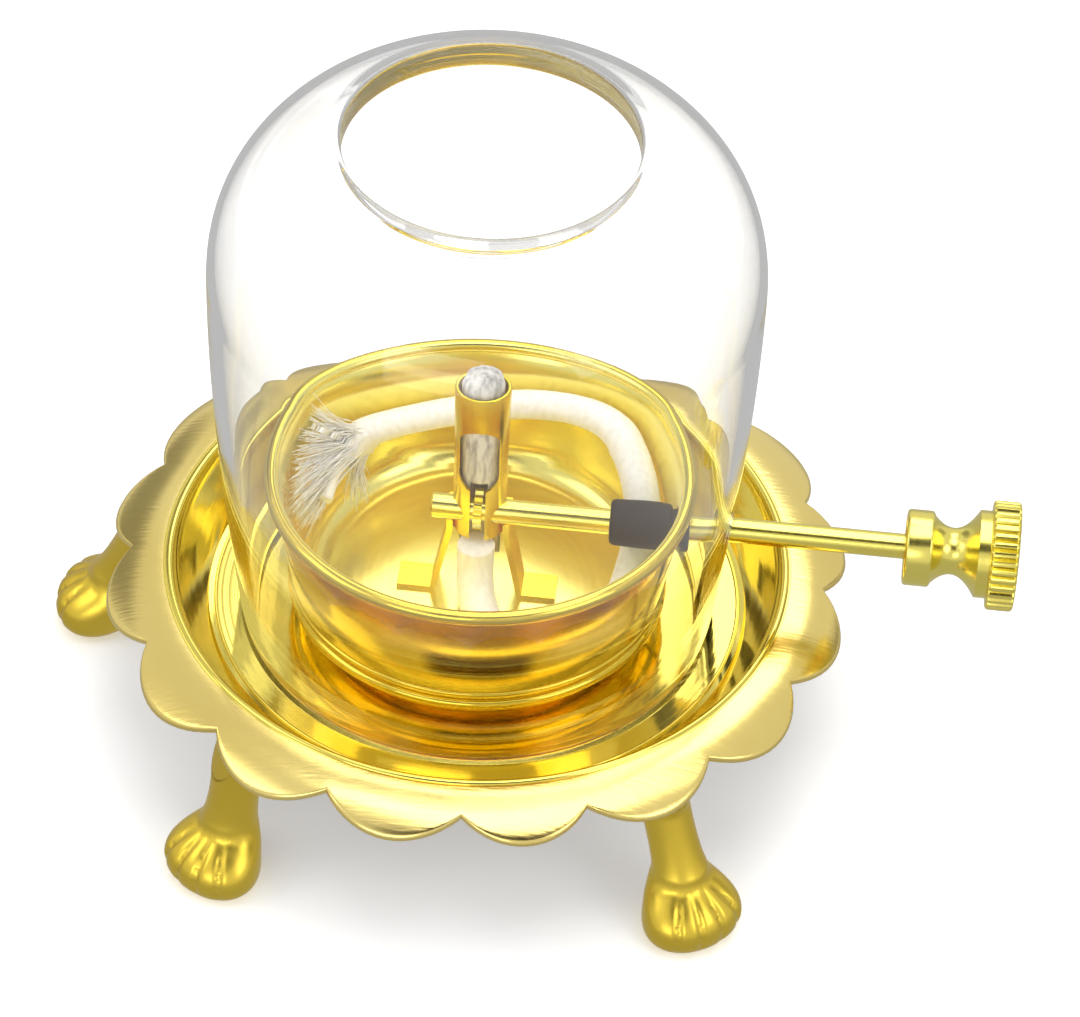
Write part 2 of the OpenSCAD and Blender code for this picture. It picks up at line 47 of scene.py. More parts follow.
# Points of a new mesh that are closer than this become one
MERGE_WITHIN = 0.004

# ---------------------------------------------------------------- sizes

# Plate
RIM_Z = 27.0
SHEET_T = 1.2
PLATE_UNDER = RIM_Z - SHEET_T
DISH_Z = 18.3
DISH_UNDER = DISH_Z - SHEET_T
DISH_FLOOR_R = 45.5
DISH_R = 52.0
NOTCH_R = 58.5
PETAL_TIP_R = 62.9
DROOP_FROM_R = 53.0
RIM_DROOP = 3.2
STUD_HOLE_R = 3.2
# Angles of the notches that are cut by hand between the petals
PETAL_NOTCHES = [
    1, 22, 45, 68, 91, 113.5, 136, 164, 184.5, 207, 230, 252, 274, 294, 316.5, 338.5]

# Bowl
BOWL_RIM_Z = 49.4
BOWL_BEAD_R = 1.2
BOWL_TOP_R = 34.9
BOWL_BASE_R = 31.3
BOWL_WALL = 1.2
BOWL_UNDER = 20.0
BOWL_FLOOR_Z = 21.5
BOWL_RING_Z = 24.8
BEAD_Z = BOWL_RIM_Z - BOWL_BEAD_R

# Winder
SHAFT_R = 2.1
SHAFT_Y = -1.7
SHAFT_Z = 40.4
SHAFT_FROM = -8.0
SHAFT_TO = 80.0
SHAFT_ROOM = 0.05
KNOB_X = 71.0

# Tube and wick
TUBE_R = 4.5
TUBE_IN_R = 3.9
TUBE_LOW_Z = 35.9
TUBE_TOP_Z = 68.1
WINDOW_W = 6.6
WINDOW_H = 13.7
WINDOW_LOW_Z = 46.3
SLIT_W = 2.6
WICK_R = 3.55
WICK_LOW_Z = 28.4
WICK_TIP_Z = 72.1
TAIL_D = 6.4

# Chimney
GLASS_T = 2.2
CROWN_T = 4.5
CHIMNEY_FOOT_R = 40.0
CHIMNEY_FLARE = 4.7
CHIMNEY_WIDE_R = CHIMNEY_FOOT_R + CHIMNEY_FLARE
CHIMNEY_WIDE_Z = 88.8
DOME_H = 32.8
DOME_POWER = 2.3
MOUTH_R = 23.4
SLOT_R = SHAFT_R + 1.4

# Feet
FOOT_R = 58.0
# Angle of each foot round the lamp, and how far its ankle stands outwards
FEET = {
    "foot_left": (175.5, 4.6), "foot_front_left": (234.5, 1.8), "foot_front_right": (308, 5.4),
    "foot_back_right": (52, 3.5), "foot_back": (108, 3.5),
}

# ---------------------------------------------------------------- camera

CAMERA_AT = Vector((49.98, -540.77, 559.10))
CAMERA_AIM = Vector((10.05, 0.74, 38.65))
CAMERA_ROLL = math.radians(2.6185)
CAMERA_LENS = 150.15
CAMERA_SENSOR_W = 36

eye = bpy.data.cameras.new("photo_camera")
eye.lens = CAMERA_LENS
eye.sensor_width = CAMERA_SENSOR_W
camera = bpy.data.objects.new("photo_camera", eye)
bpy.context.scene.collection.objects.link(camera)
aim = (CAMERA_AIM - CAMERA_AT).to_track_quat("-Z", "Y").to_matrix().to_4x4()
roll = Matrix.Rotation(CAMERA_ROLL, 4, "Z")
camera.matrix_world = Matrix.Translation(CAMERA_AT * MM) @ aim @ roll
bpy.context.scene.camera = camera

# ---------------------------------------------------------------- making pieces


def deselect():
    bpy.ops.object.select_all(action="DESELECT")


def take(piece):
    deselect()
    piece.select_set(True)
    bpy.context.view_layer.objects.active = piece


def clamp(share):
    """A share, kept between 0 and 1."""
    return max(0, min(1, share))


def arc(middle, height, r, start, end, steps):
    """Points of an arc as (radius, height), with its angles in degrees."""
    turns = [math.radians(start + (end - start) * i / steps) for i in range(steps + 1)]
    return [(middle + r * math.cos(a), height + r * math.sin(a)) for a in turns]


def on_lamp(radius, height):
    return Vector((radius, 0, height)) * MM


def on_shaft(radius, along):
    return Vector((along, SHAFT_Y, SHAFT_Z + radius)) * MM


def turned(name, outline, steps, place=on_lamp, smooth=35):
    """Turns an outline on the lathe, about the lamp's axis or the shaft's."""
    points = [place(*point) for point in outline]
    deselect()
    bpy.ops.mesh.primitive_plane_add(size=MM)
    piece = bpy.context.object
    piece.name = name
    bpy.ops.object.mode_set(mode="EDIT")
    bpy.ops.mesh.merge(type="CENTER")
    bpy.ops.transform.translate(value=points[0])
    for here, there in zip(points, points[1:]):
        bpy.ops.mesh.extrude_vertices_move(TRANSFORM_OT_translate={"value": there - here})
    bpy.ops.mesh.select_all(action="SELECT")
    axis = (0, 0, 1) if place is on_lamp else (1, 0, 0)
    bpy.ops.mesh.spin(steps=steps, angle=FULL_TURN, center=place(0, 0), axis=axis)
    bpy.ops.mesh.select_all(action="SELECT")
    bpy.ops.mesh.remove_doubles(threshold=MERGE_WITHIN * MM)
    bpy.ops.mesh.normals_make_consistent(inside=False)
    bpy.ops.object.mode_set(mode="OBJECT")
    bpy.ops.object.shade_smooth_by_angle(angle=math.radians(smooth))
    return piece


def reshape(piece, move):
    """Moves each point of a piece; both places are in millimetres."""
    for point in piece.data.vertices:
        point.co = move(point.co / MM) * MM
    piece.data.update()


def finish_modifier(piece, kind, **settings):
    take(piece)
    modifier = piece.modifiers.new(kind.lower(), kind)
    for name, value in settings.items():
        setattr(modifier, name, value)
    bpy.ops.object.modifier_apply(modifier=modifier.name)


def cut(piece, cutter):
    """Takes a cutter's shape out of a piece and throws the cutter away."""
    finish_modifier(piece, "BOOLEAN", operation="DIFFERENCE", object=cutter, solver="EXACT")
    bpy.data.objects.remove(cutter)


def smooth_by_angle(piece, degrees):
    take(piece)
    bpy.ops.object.shade_smooth_by_angle(angle=math.radians(degrees))


def box_cutter(low, high):
    """A cutter box between two corners in millimetres."""
    low, high = Vector(low), Vector(high)
    deselect()
    bpy.ops.mesh.primitive_cube_add(size=MM, location=(low + high) / 2 * MM, scale=high - low)
    bpy.ops.object.transform_apply()
    return bpy.context.object


def rod_cutter(start, end, r, sides=48):
    """A cutter rod between two points in millimetres."""
    start, end = Vector(start), Vector(end)
    way = end - start
    deselect()
    bpy.ops.mesh.primitive_cylinder_add(
        vertices=sides, radius=r * MM, depth=way.length * MM, location=(start + end) / 2 * MM,
        rotation=way.to_track_quat("Z", "Y").to_euler())
    bpy.ops.object.transform_apply()
    return bpy.context.object


def shaft_cutter(start, end, r):
    """A cutter rod along the shaft, between two places on it."""
    return rod_cutter((start, SHAFT_Y, SHAFT_Z), (end, SHAFT_Y, SHAFT_Z), r)


def smooth_route(points, steps):
    """Points on one smooth curve through a route."""
    ends = [points[0] * 2 - points[1]] + points + [points[-1] * 2 - points[-2]]
    route = []
    for a, b, c, d in zip(ends, ends[1:], ends[2:], ends[3:]):
        for i in range(steps):
            t = i / steps
            route.append(0.5 * (2 * b + (c - a) * t + (2 * a - 5 * b + 4 * c - d) * t * t
                                + (3 * b - a - 3 * c + d) * t ** 3))
    return route + [points[-1]]


def headings_of(route):
    """The heading and a side that doesn't twist, at each point of a route."""
    found = []
    side = Vector((1, 0, 0))
    for i in range(len(route)):
        way = (route[min(i + 1, len(route) - 1)] - route[max(i - 1, 0)]).normalized()
        side = (side - side.dot(way) * way).normalized()
        found.append((way, side))
    return found


def spun_tubes(name, routes, radius_at, sides):
    """Tubes of cotton along routes, in one mesh, with UVs along and round each."""
    mesh = bmesh.new()
    uv_layer = mesh.loops.layers.uv.new("along")
    for number, route in enumerate(routes):
        rings = []
        lengths = [0.0]
        for here, there in zip(route, route[1:]):
            lengths.append(lengths[-1] + (there - here).length)
        for i, (way, side) in enumerate(headings_of(route)):
            across = way.cross(side)
            ring = []
            for k in range(sides):
                turn = FULL_TURN * k / sides
                r = radius_at(number, lengths[i], lengths[-1], turn)
                ring.append(mesh.verts.new(
                    (route[i] + r * (math.cos(turn) * side + math.sin(turn) * across)) * MM))
            rings.append(ring)
        for i in range(len(rings) - 1):
            for k in range(sides):
                n = (k + 1) % sides
                low, high = rings[i], rings[i + 1]
                face = mesh.faces.new((low[k], low[n], high[n], high[k]))
                face.smooth = True
                spots = ((k, i), (k + 1, i), (k + 1, i + 1), (k, i + 1))
                for loop, (u, v) in zip(face.loops, spots):
                    loop[uv_layer].uv = (lengths[v], u / sides)
        for ring, order in ((rings[0], -1), (rings[-1], 1)):
            mesh.faces.new(ring[::order])
    data = bpy.data.meshes.new(name)
    mesh.to_mesh(data)
    mesh.free()
    piece = bpy.data.objects.new(name, data)
    bpy.context.scene.collection.objects.link(piece)
    return piece


# ---------------------------------------------------------------- materials


def linear(hex_colour):
    """An sRGB hex value as a linear colour."""
    found = []
    for i in (1, 3, 5):
        c = int(hex_colour[i:i + 2], 16) / 255
        found.append(c / 12.92 if c <= 0.04045 else ((c + 0.055) / 1.055) ** 2.4)
    return (*found, 1.0)


def per_metre(size_mm):
    """A pattern's scale on Object coordinates, for a size of its mark in millimetres."""
    return 1 / (size_mm * MM)


def new_material(name):
    material = bpy.data.materials.new(name)
    material.use_nodes = True
    material.node_tree.nodes.clear()
    return material


def add(material, kind, settings=None, values=None, links=None):
    """Adds a node with its settings, its values and what feeds it."""
    tree = material.node_tree
    node = tree.nodes.new(kind)
    for name, value in (settings or {}).items():
        setattr(node, name, value)
    for name, value in (values or {}).items():
        node.inputs[name].default_value = value
    for name, socket in (links or {}).items():
        tree.links.new(socket, node.inputs[name])
    return node


def metal(name, bright, deep, rough_low, rough_high, marks, mark_depth):
    """A brass surface: its colour drifts a little between two tones, and its tool
    marks, drawn by marks(material, coords), change the gloss and stand up a little."""
    material = new_material(name)
    coords = add(material, "ShaderNodeTexCoord")
    drift = add(material, "ShaderNodeTexNoise", values={"Scale": per_metre(30), "Detail": 3.0},
                links={"Vector": coords.outputs["Object"]})
    tone = add(material, "ShaderNodeMix", {"data_type": "RGBA"},
               {"A": linear(bright), "B": linear(deep)}, {"Factor": drift.outputs["Fac"]})
    mark = marks(material, coords)
    rough = add(material, "ShaderNodeMapRange", values={"To Min": rough_low, "To Max": rough_high},
                links={"Value": mark})
    bump = add(material, "ShaderNodeBump", values={"Strength": 0.5, "Distance": mark_depth * MM},
               links={"Height": mark})
    shader = add(material, "ShaderNodeBsdfPrincipled", values={"Metallic": 1.0},
                 links={"Base Color": tone.outputs["Result"], "Roughness": rough.outputs["Result"],
                        "Normal": bump.outputs["Normal"]})
    add(material, "ShaderNodeOutputMaterial", links={"Surface": shader.outputs["BSDF"]})
    return material


def spin_lines(material, coords):
    """Fine rings that the spinning tool and the polishing mop leave. They are about
    0.2 mm apart on the lamp, and drawn 0.9 mm apart here so that they show."""
    flat = add(material, "ShaderNodeVectorMath", {"operation": "MULTIPLY"}, {1: (1, 1, 0.6)},
               {0: coords.outputs["Object"]})
    out = add(material, "ShaderNodeVectorMath", {"operation": "LENGTH"},
              links={0: flat.outputs["Vector"]})
    ring = add(material, "ShaderNodeTexNoise", {"noise_dimensions": "1D"},
               {"Scale": per_metre(0.9), "Detail": 2.0}, {"W": out.outputs["Value"]})
    return ring.outputs["Fac"]


def buff_lines(material, coords):
    """Short straight strokes of the buff on the flat petals. They are about 0.1 mm
    wide on the lamp, and drawn 0.6 mm wide and 5 mm long here so that they show."""
    turn = add(material, "ShaderNodeMapping", values={"Rotation": (0, 0, 0.6), "Scale": (1, 9, 1)},
               links={"Vector": coords.outputs["Object"]})
    stroke = add(material, "ShaderNodeTexNoise", values={"Scale": per_metre(5), "Detail": 4.0},
                 links={"Vector": turn.outputs["Vector"]})
    return stroke.outputs["Fac"]


def cast_skin(material, coords):
    """The faint grain that the sand of the mould leaves under a satin polish. It is about
    0.3 mm across on the lamp, and drawn 1.2 mm across here so that it shows."""
    grain = add(material, "ShaderNodeTexNoise", values={"Scale": per_metre(1.2), "Detail": 4.0},
                links={"Vector": coords.outputs["Object"]})
    return grain.outputs["Fac"]


def lathe_lines(material, coords):
    """Fine feed marks of the lathe, across the shaft's axis. They are about 0.1 mm
    apart on the lamp, and drawn 0.7 mm apart here so that they show."""
    flat = add(material, "ShaderNodeMapping", values={"Scale": (1, 0.05, 0.05)},
               links={"Vector": coords.outputs["Object"]})
    feed = add(material, "ShaderNodeTexNoise", values={"Scale": per_metre(0.7), "Detail": 2.0},
               links={"Vector": flat.outputs["Vector"]})
    return feed.outputs["Fac"]


def cotton(name, light, dark, rough):
    """Loosely spun cotton: soft threads along the wick, with painted shade, a darker tone,
    in their hollows. A thread is about 0.5 mm thick, and drawn 1 mm thick here so that it shows."""
    material = new_material(name)
    coords = add(material, "ShaderNodeTexCoord")
    stretch = add(material, "ShaderNodeMapping", values={"Scale": (1, 1, 0.25)},
                  links={"Vector": coords.outputs["Object"]})
    thread = add(material, "ShaderNodeTexNoise", values={"Scale": per_metre(1.0), "Detail": 5.0},
                 links={"Vector": stretch.outputs["Vector"]})
    spread = add(material, "ShaderNodeMapRange", values={"From Min": 0.3, "From Max": 0.6},
                 links={"Value": thread.outputs["Fac"]})
    # Painted shade: the low parts of the thread pattern, its hollows, take the darker tone
    tone = add(material, "ShaderNodeMix", {"data_type": "RGBA"},
               {"A": linear(dark), "B": linear(light)}, {"Factor": spread.outputs["Result"]})
    bump = add(material, "ShaderNodeBump", values={"Strength": 0.5, "Distance": 0.3 * MM},
               links={"Height": thread.outputs["Fac"]})
    shader = add(material, "ShaderNodeBsdfPrincipled",
                 values={"Roughness": rough, "Sheen Weight": 0.3, "Sheen Roughness": 0.5},
                 links={"Base Color": tone.outputs["Result"], "Normal": bump.outputs["Normal"]})
    add(material, "ShaderNodeOutputMaterial", links={"Surface": shader.outputs["BSDF"]})
    return material


def rubber():
    """Moulded rubber: dark and dull to the eye, with a fine paler bloom."""
    material = new_material("moulded_rubber")
    coords = add(material, "ShaderNodeTexCoord")
    bloom = add(material, "ShaderNodeTexNoise", values={"Scale": per_metre(1.5), "Detail": 4.0},
                links={"Vector": coords.outputs["Object"]})
    tone = add(material, "ShaderNodeMix", {"data_type": "RGBA"},
               {"A": linear("#2e2520"), "B": linear("#463a33")}, {"Factor": bloom.outputs["Fac"]})
    rough = add(material, "ShaderNodeMapRange", values={"To Min": 0.5, "To Max": 0.66},
                links={"Value": bloom.outputs["Fac"]})
    shader = add(material, "ShaderNodeBsdfPrincipled", values={"Specular IOR Level": 0.2},
                 links={"Base Color": tone.outputs["Result"], "Roughness": rough.outputs["Result"]})
    add(material, "ShaderNodeOutputMaterial", links={"Surface": shader.outputs["BSDF"]})
    return material


def glass():
    """Blown soda-lime glass: clear and smooth with a very faint wave, grey only where
    the eye looks along the wall and through much of it."""
    material = new_material("clear_soda_glass")
    coords = add(material, "ShaderNodeTexCoord")
    wave = add(material, "ShaderNodeTexNoise", values={"Scale": per_metre(25), "Detail": 1.0},
               links={"Vector": coords.outputs["Object"]})
    bump = add(material, "ShaderNodeBump", values={"Strength": 0.15, "Distance": 0.4 * MM},
               links={"Height": wave.outputs["Fac"]})
    shader = add(material, "ShaderNodeBsdfPrincipled",
                 values={"Base Color": linear("#ffffff"), "Roughness": 0.0, "IOR": 1.5,
                         "Transmission Weight": 1.0},
                 links={"Normal": bump.outputs["Normal"]})
    body = add(material, "ShaderNodeVolumeAbsorption",
               values={"Color": linear("#bcbab4"), "Density": 6.0})
    add(material, "ShaderNodeOutputMaterial",
        links={"Surface": shader.outputs["BSDF"], "Volume": body.outputs["Volume"]})
    return material


# Spun sheet, polished on the mop: a mirror with soft rings in it
SPUN_BRASS = metal("spun_polished_brass", "#efdd72", "#e0c956", 0.05, 0.13, spin_lines, 0.02)
# Turned and polished: a deeper gold mirror
TURNED_BOWL_BRASS = metal("polished_bowl_brass", "#e8d058", "#d8ba42", 0.06, 0.14, spin_lines, 0.02)
# Turned and left from the tool: a soft shine that blurs what it reflects; its pale colour, paler
# than the outside's, is painted light for the brightly lit inside of the bowl
SATIN_BOWL_BRASS_PAINTED_LIGHT = metal("satin_bowl_brass_painted_light", "#f9ee8c", "#f3e272", 0.14, 0.26, spin_lines, 0.02)
# Buffed by hand: pale gold with straight strokes and a broad soft shine
BUFFED_BRASS = metal("buffed_brass_petals", "#f8e496", "#e4c86c", 0.13, 0.25, buff_lines, 0.05)
# Spun sheet that was never polished, dull and without reflections; its dark brown is partly painted
# shade for the faces that look down under the plate
DULL_BRASS_AND_SHADE = metal("unpolished_brass_and_painted_shade", "#6f5a36", "#54432a", 0.4, 0.55, spin_lines, 0.03)
# Sand-cast and rubbed down: a satin gold with broad highlights
CAST_BRASS = metal("satin_cast_brass", "#eed456", "#deba38", 0.26, 0.36, cast_skin, 0.015)
# Turned bar: bright lemon gold with fine lines round it
TURNED_BRASS = metal("lathe_turned_brass", "#f6e87e", "#ecd85e", 0.16, 0.26, lathe_lines, 0.02)
# Drawn tube and strip with a soft shine; its strong yellow is partly a painted reflection of the
# amber bowl round it
TUBE_BRASS_AND_REFLECTION = metal("drawn_brass_tube_and_painted_reflection", "#f2da4c", "#e6c934", 0.18, 0.28, spin_lines, 0.02)
# Dry cotton: white, soft and without gloss
# The second tone of each cotton is the painted shade in the threads' hollows
COTTON = cotton("spun_cotton", "#fefdfa", "#f3f0ea", 0.95)
# Cotton wet with oil, in the tube: greyer, with a gloss
OILED_COTTON = cotton("oiled_cotton", "#dedad2", "#8d8880", 0.28)
RUBBER = rubber()
GLASS = glass()


def dress(piece, material, slot, body, *nodes):
    """Gives a new piece its finish, its body and the nodes that it stands for."""
    piece.data.materials.clear()
    piece.data.materials.append(material)
    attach(piece, body)
    if nodes:
        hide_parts(*nodes)


# ---------------------------------------------------------------- wick, loose in the bowl


def wall_r(z):
    """Outer radius of the bowl's wall at a height."""
    return BOWL_BASE_R + (BOWL_TOP_R - BOWL_BASE_R) * (z - BOWL_RING_Z) / (BEAD_Z - BOWL_RING_Z)


# From the tube's foot over the bowl's floor, up by the bush and round the back to the left
TAIL_ROUTE = [
    (0, -4.5, 35), (0, -4.9, 32), (0.2, -6.3, 29), (0.9, -8.9, 26.6), (2.4, -12.3, 25.3),
    (4.9, -15.9, 25), (8.3, -18.7, 25), (12.3, -19.7, 25.2), (16.4, -18.7, 25.6),
    (20, -15.9, 26.2), (22.9, -12, 27), (25, -7.4, 28.3), (26.4, -2.5, 30.4), (27.2, 2.5, 33.2),
    (27, 7.6, 36.2), (25.5, 12.8, 38.8), (22.6, 17.8, 40.6), (18.3, 22.2, 41.4),
    (12.7, 25.6, 41.2), (6.1, 27.7, 40.1), (-0.8, 28.1, 38.7), (-7.4, 26.9, 37.2),
    (-13.4, 24.3, 36.4), (-18.3, 20.7, 36.3), (-22, 16.5, 36.7), (-24.6, 12, 36.7),
    (-26.1, 7.5, 35.8), (-26.7, 3, 34.2),
]
TAIL_STEPS, TAIL_SIDES = 6, 28
tail_path = smooth_route([Vector(point) for point in TAIL_ROUTE], TAIL_STEPS)

# The strands of the wick lie in a slow twist, with fuzz on them
LAY_STRANDS, LAY_DEPTH, LAY_RUN = 5, 0.02, 2.2
FUZZ, FUZZ_ALONG, FUZZ_ROUND = 0.06, 0.4, 3
# The last length of the wick, and how it thins there
CORE_LENGTH, THIN_OVER, THIN_BY = 15, 7, 0.62


def tail_radius(_number, along, length, turn):
    """Radius of the wick: a soft lay, and a thin core where the tassel hides it."""
    lay = LAY_DEPTH * math.cos(LAY_STRANDS * turn - along / LAY_RUN)
    spot = Vector((along * FUZZ_ALONG, FUZZ_ROUND * math.cos(turn), FUZZ_ROUND * math.sin(turn)))
    fuzz = FUZZ * noise.noise(spot)
    thin = clamp((along - length + CORE_LENGTH) / THIN_OVER)
    return (TAIL_D / 2 - FUZZ + lay + fuzz) * (1 - THIN_BY * thin)


wick_tail = spun_tubes("wick_tail_cotton", [tail_path], tail_radius, TAIL_SIDES)
dress(wick_tail, COTTON, "wick_cotton", "lamp", "wick_tail")

# The loose end is frayed into a tassel that fans out over the bowl's wall: each lock
# runs from the wick's end to an angle, a height and a distance in from the wall
TASSEL_ROOT = Vector((-21.2, 17.4, 36.7))
TASSEL_WAY_X, TASSEL_WAY_Y = -0.62, -0.78
TASSEL_WAY = Vector((TASSEL_WAY_X, TASSEL_WAY_Y, 0.0))
TASSEL_LOCKS = [
    (160, 45.2, 0.6), (164, 44.0, 1.2), (168, 43.2, 0.7), (172, 42.4, 1.5), (176, 41.4, 0.8),
    (180, 40.4, 1.4), (183, 39.0, 0.8), (184, 37.2, 1.6), (183, 35.4, 0.9), (182, 33.6, 1.6),
    (179, 32.2, 1.0), (174, 31.2, 2.4), (168, 37.5, 3.5), (174, 36.0, 4.2), (162, 40.5, 3.0),
    (156, 28.5, 5.5), (152, 28.0, 6.5), (148, 29.0, 6.0),
]
STRANDS_IN_LOCK = 26
STRAND_POINTS, STRAND_STEPS, STRAND_SIDES = 6, 2, 5
STRAND_R, STRAND_TAPER = 0.1, 0.5
# How far strands stray from their lock: in degrees, in height and in from the wall
STRAY_TURN, STRAY_Z, STRAY_IN = 2.0, 0.8, 0.5
END_ROOM, WALL_ROOM = 0.3, 0.25
ROOT_R = 2.3
BEND_NEAR, BEND_FAR, BEND_RISE = 3.5, 5.5, 0.18
CURL, CURL_WAVE = 0.6, 5


def strand(lock_turn, lock_z, lock_in):
    """The route of one strand of a lock, kept inside the bowl's wall."""
    turn = math.radians(lock_turn + random.gauss(0, STRAY_TURN))
    z = lock_z + random.gauss(0, STRAY_Z)
    reach = wall_r(z) - BOWL_WALL - max(END_ROOM, lock_in + random.gauss(0, STRAY_IN))
    end = Vector((reach * math.cos(turn), reach * math.sin(turn), z))
    round_root, out = random.uniform(0, FULL_TURN), math.sqrt(random.random()) * ROOT_R
    side, up = math.cos(round_root), math.sin(round_root)
    root = TASSEL_ROOT + Vector((-TASSEL_WAY_Y * side, TASSEL_WAY_X * side, up)) * out
    rise = Vector((0, 0, (z - root.z) * BEND_RISE))
    bend = root + TASSEL_WAY * random.uniform(BEND_NEAR, BEND_FAR) + rise
    curl = Vector((random.gauss(0, 1), random.gauss(0, 1), random.gauss(0, 1))) * CURL
    points = []
    for i in range(STRAND_POINTS):
        t = i / (STRAND_POINTS - 1)
        point = root * (1 - t) ** 2 + bend * 2 * t * (1 - t) + end * t * t
        point += curl * math.sin(CURL_WAVE * t) * t
        most = wall_r(point.z) - BOWL_WALL - WALL_ROOM
        far = math.hypot(point.x, point.y)
        if far > most:
            point.x, point.y = point.x * most / far, point.y * most / far
        points.append(point)
    return smooth_route(points, STRAND_STEPS)


def strand_radius(_number, along, length, _turn):
    """Radius of a strand, thinner towards its end."""
    return STRAND_R * (1 - STRAND_TAPER * along / length)


tassel_routes = [strand(*lock) for lock in TASSEL_LOCKS for _ in range(STRANDS_IN_LOCK)]
tassel = spun_tubes("wick_tassel", tassel_routes, strand_radius, STRAND_SIDES)
dress(tassel, COTTON, "wick_cotton", "lamp")

# ---------------------------------------------------------------- plate

# Raised lines are spun into the dish's floor by the wall and along the wall's top edge
DISH_LINE_R, DISH_LINE_IN = 0.3, 1.2
EDGE_LINE_R, EDGE_LINE_DOWN = 0.7, 0.35
SHEET_EDGE_R = 0.6
WALL_STEPS = 8
PETAL_COLUMNS = 16
dish_wall = [
    (DISH_FLOOR_R + (DISH_R - DISH_FLOOR_R) * i / WALL_STEPS,
     DISH_Z + (RIM_Z - DISH_Z) * i / WALL_STEPS) for i in range(2, WALL_STEPS)]
plate_outline = (
    [(STUD_HOLE_R, DISH_UNDER)] + [(r, DISH_Z) for r in (STUD_HOLE_R, 20, 32, 40)]
    + arc(DISH_FLOOR_R - DISH_LINE_IN, DISH_Z, DISH_LINE_R, 180, 0, 8)
    + [(DISH_FLOOR_R, DISH_Z + 0.15), (DISH_FLOOR_R + 0.4, DISH_Z + 0.6)] + dish_wall
    + arc(DISH_R, RIM_Z - EDGE_LINE_DOWN, EDGE_LINE_R, 190, 30, 10)
    + [(DISH_R + 1, RIM_Z)] + [(DROOP_FROM_R + i, RIM_Z) for i in range(1, 9)]
    + [(PETAL_TIP_R - 2 * SHEET_EDGE_R, RIM_Z)]
    + arc(PETAL_TIP_R - SHEET_EDGE_R, RIM_Z - SHEET_EDGE_R, SHEET_EDGE_R, 90, -90, 8)
    + [(PETAL_TIP_R - 1.4 * i, PLATE_UNDER) for i in range(1, 8)]
    + [(DISH_R + 0.6, PLATE_UNDER), (DISH_FLOOR_R + 0.6, DISH_UNDER)]
    + [(r, DISH_UNDER) for r in (40, 20, STUD_HOLE_R)]
)
base_plate = turned("base_plate_spun", plate_outline, len(PETAL_NOTCHES) * PETAL_COLUMNS)


def rim_drop(r):
    """How far the rim has fallen at a radius."""
    return RIM_DROOP * max(0, (r - DROOP_FROM_R) / (PETAL_TIP_R - DROOP_FROM_R)) ** 2


def edge_reach(off, wide):
    """Radius of a petal's round edge, at an angle off the petal's middle."""
    notch_out = NOTCH_R * math.cos(wide / 2)
    middle_r = (PETAL_TIP_R ** 2 - NOTCH_R ** 2) / (2 * (PETAL_TIP_R - notch_out))
    petal_r = PETAL_TIP_R - middle_r
    return middle_r * math.cos(off) + math.sqrt(petal_r ** 2 - (middle_r * math.sin(off)) ** 2)


def petal_edge(angle):
    """Radius of the petals' edge at an angle round the lamp, in degrees."""
    for start, end in zip(PETAL_NOTCHES, PETAL_NOTCHES[1:] + PETAL_NOTCHES[:1]):
        wide, past = (end - start) % 360, (angle - start) % 360
        if past < wide:
            return edge_reach(math.radians(past - wide / 2), math.radians(wide))


# Height that each notch and each petal's middle has come out of true by hand
NOTCH_STRAY, MIDDLE_STRAY = (-0.3, 0.3), (-0.25, 0.35)
notch_lift = [random.uniform(*NOTCH_STRAY) for _ in PETAL_NOTCHES]
middle_lift = [random.uniform(*MIDDLE_STRAY) for _ in PETAL_NOTCHES]
LIFT_POWER = 1.5
CREASED_PETAL = len(PETAL_NOTCHES) - 1
# Puts a point on a notch in the petal after it
HAIR = 1e-6


def cut_petal(point):
    """Moves a point of the even spun rim onto the hand-cut, drooping petals."""
    r, even = math.hypot(point.x, point.y), math.atan2(point.y, point.x) % FULL_TURN
    petal, share = divmod(even / FULL_TURN * len(PETAL_NOTCHES) + HAIR, 1)
    petal = int(petal) % len(PETAL_NOTCHES)
    after = (petal + 1) % len(PETAL_NOTCHES)
    start = math.radians(PETAL_NOTCHES[petal])
    wide = math.radians((PETAL_NOTCHES[after] - PETAL_NOTCHES[petal]) % 360)
    turn = start + share * wide
    if r > DROOP_FROM_R:
        reach = edge_reach((share - 0.5) * wide, wide)
        out = (r - DROOP_FROM_R) / (PETAL_TIP_R - DROOP_FROM_R)
        r = DROOP_FROM_R + out * (reach - DROOP_FROM_R)
        side = petal if share < 0.5 else after
        t = abs(2 * share - 1)
        if petal != CREASED_PETAL:
            t = t * t * (3 - 2 * t)
        lift = middle_lift[petal] + (notch_lift[side] - middle_lift[petal]) * t
        point.z += lift * out ** LIFT_POWER - rim_drop(r)
    return Vector((r * math.cos(turn), r * math.sin(turn), point.z))


reshape(base_plate, cut_petal)
dress(base_plate, SPUN_BRASS, "polished_brass", "lamp", "base_plate")
base_plate.data.materials.append(BUFFED_BRASS)
base_plate.data.materials.append(DULL_BRASS_AND_SHADE)
PETALS_FINISH, UNDERSIDE_SHADE_FINISH = 1, 2
PETALS_FROM_R, FACING_DOWN = DISH_R + 0.9, -0.5
for face in base_plate.data.polygons:
    middle = face.center / MM
    # Faces that look down get the dark brown, which is partly painted shade under the plate
    if face.normal.z < FACING_DOWN:
        face.material_index = UNDERSIDE_SHADE_FINISH
    elif math.hypot(middle.x, middle.y) > PETALS_FROM_R:
        face.material_index = PETALS_FINISH
smooth_by_angle(base_plate, 35)

# ---------------------------------------------------------------- feet

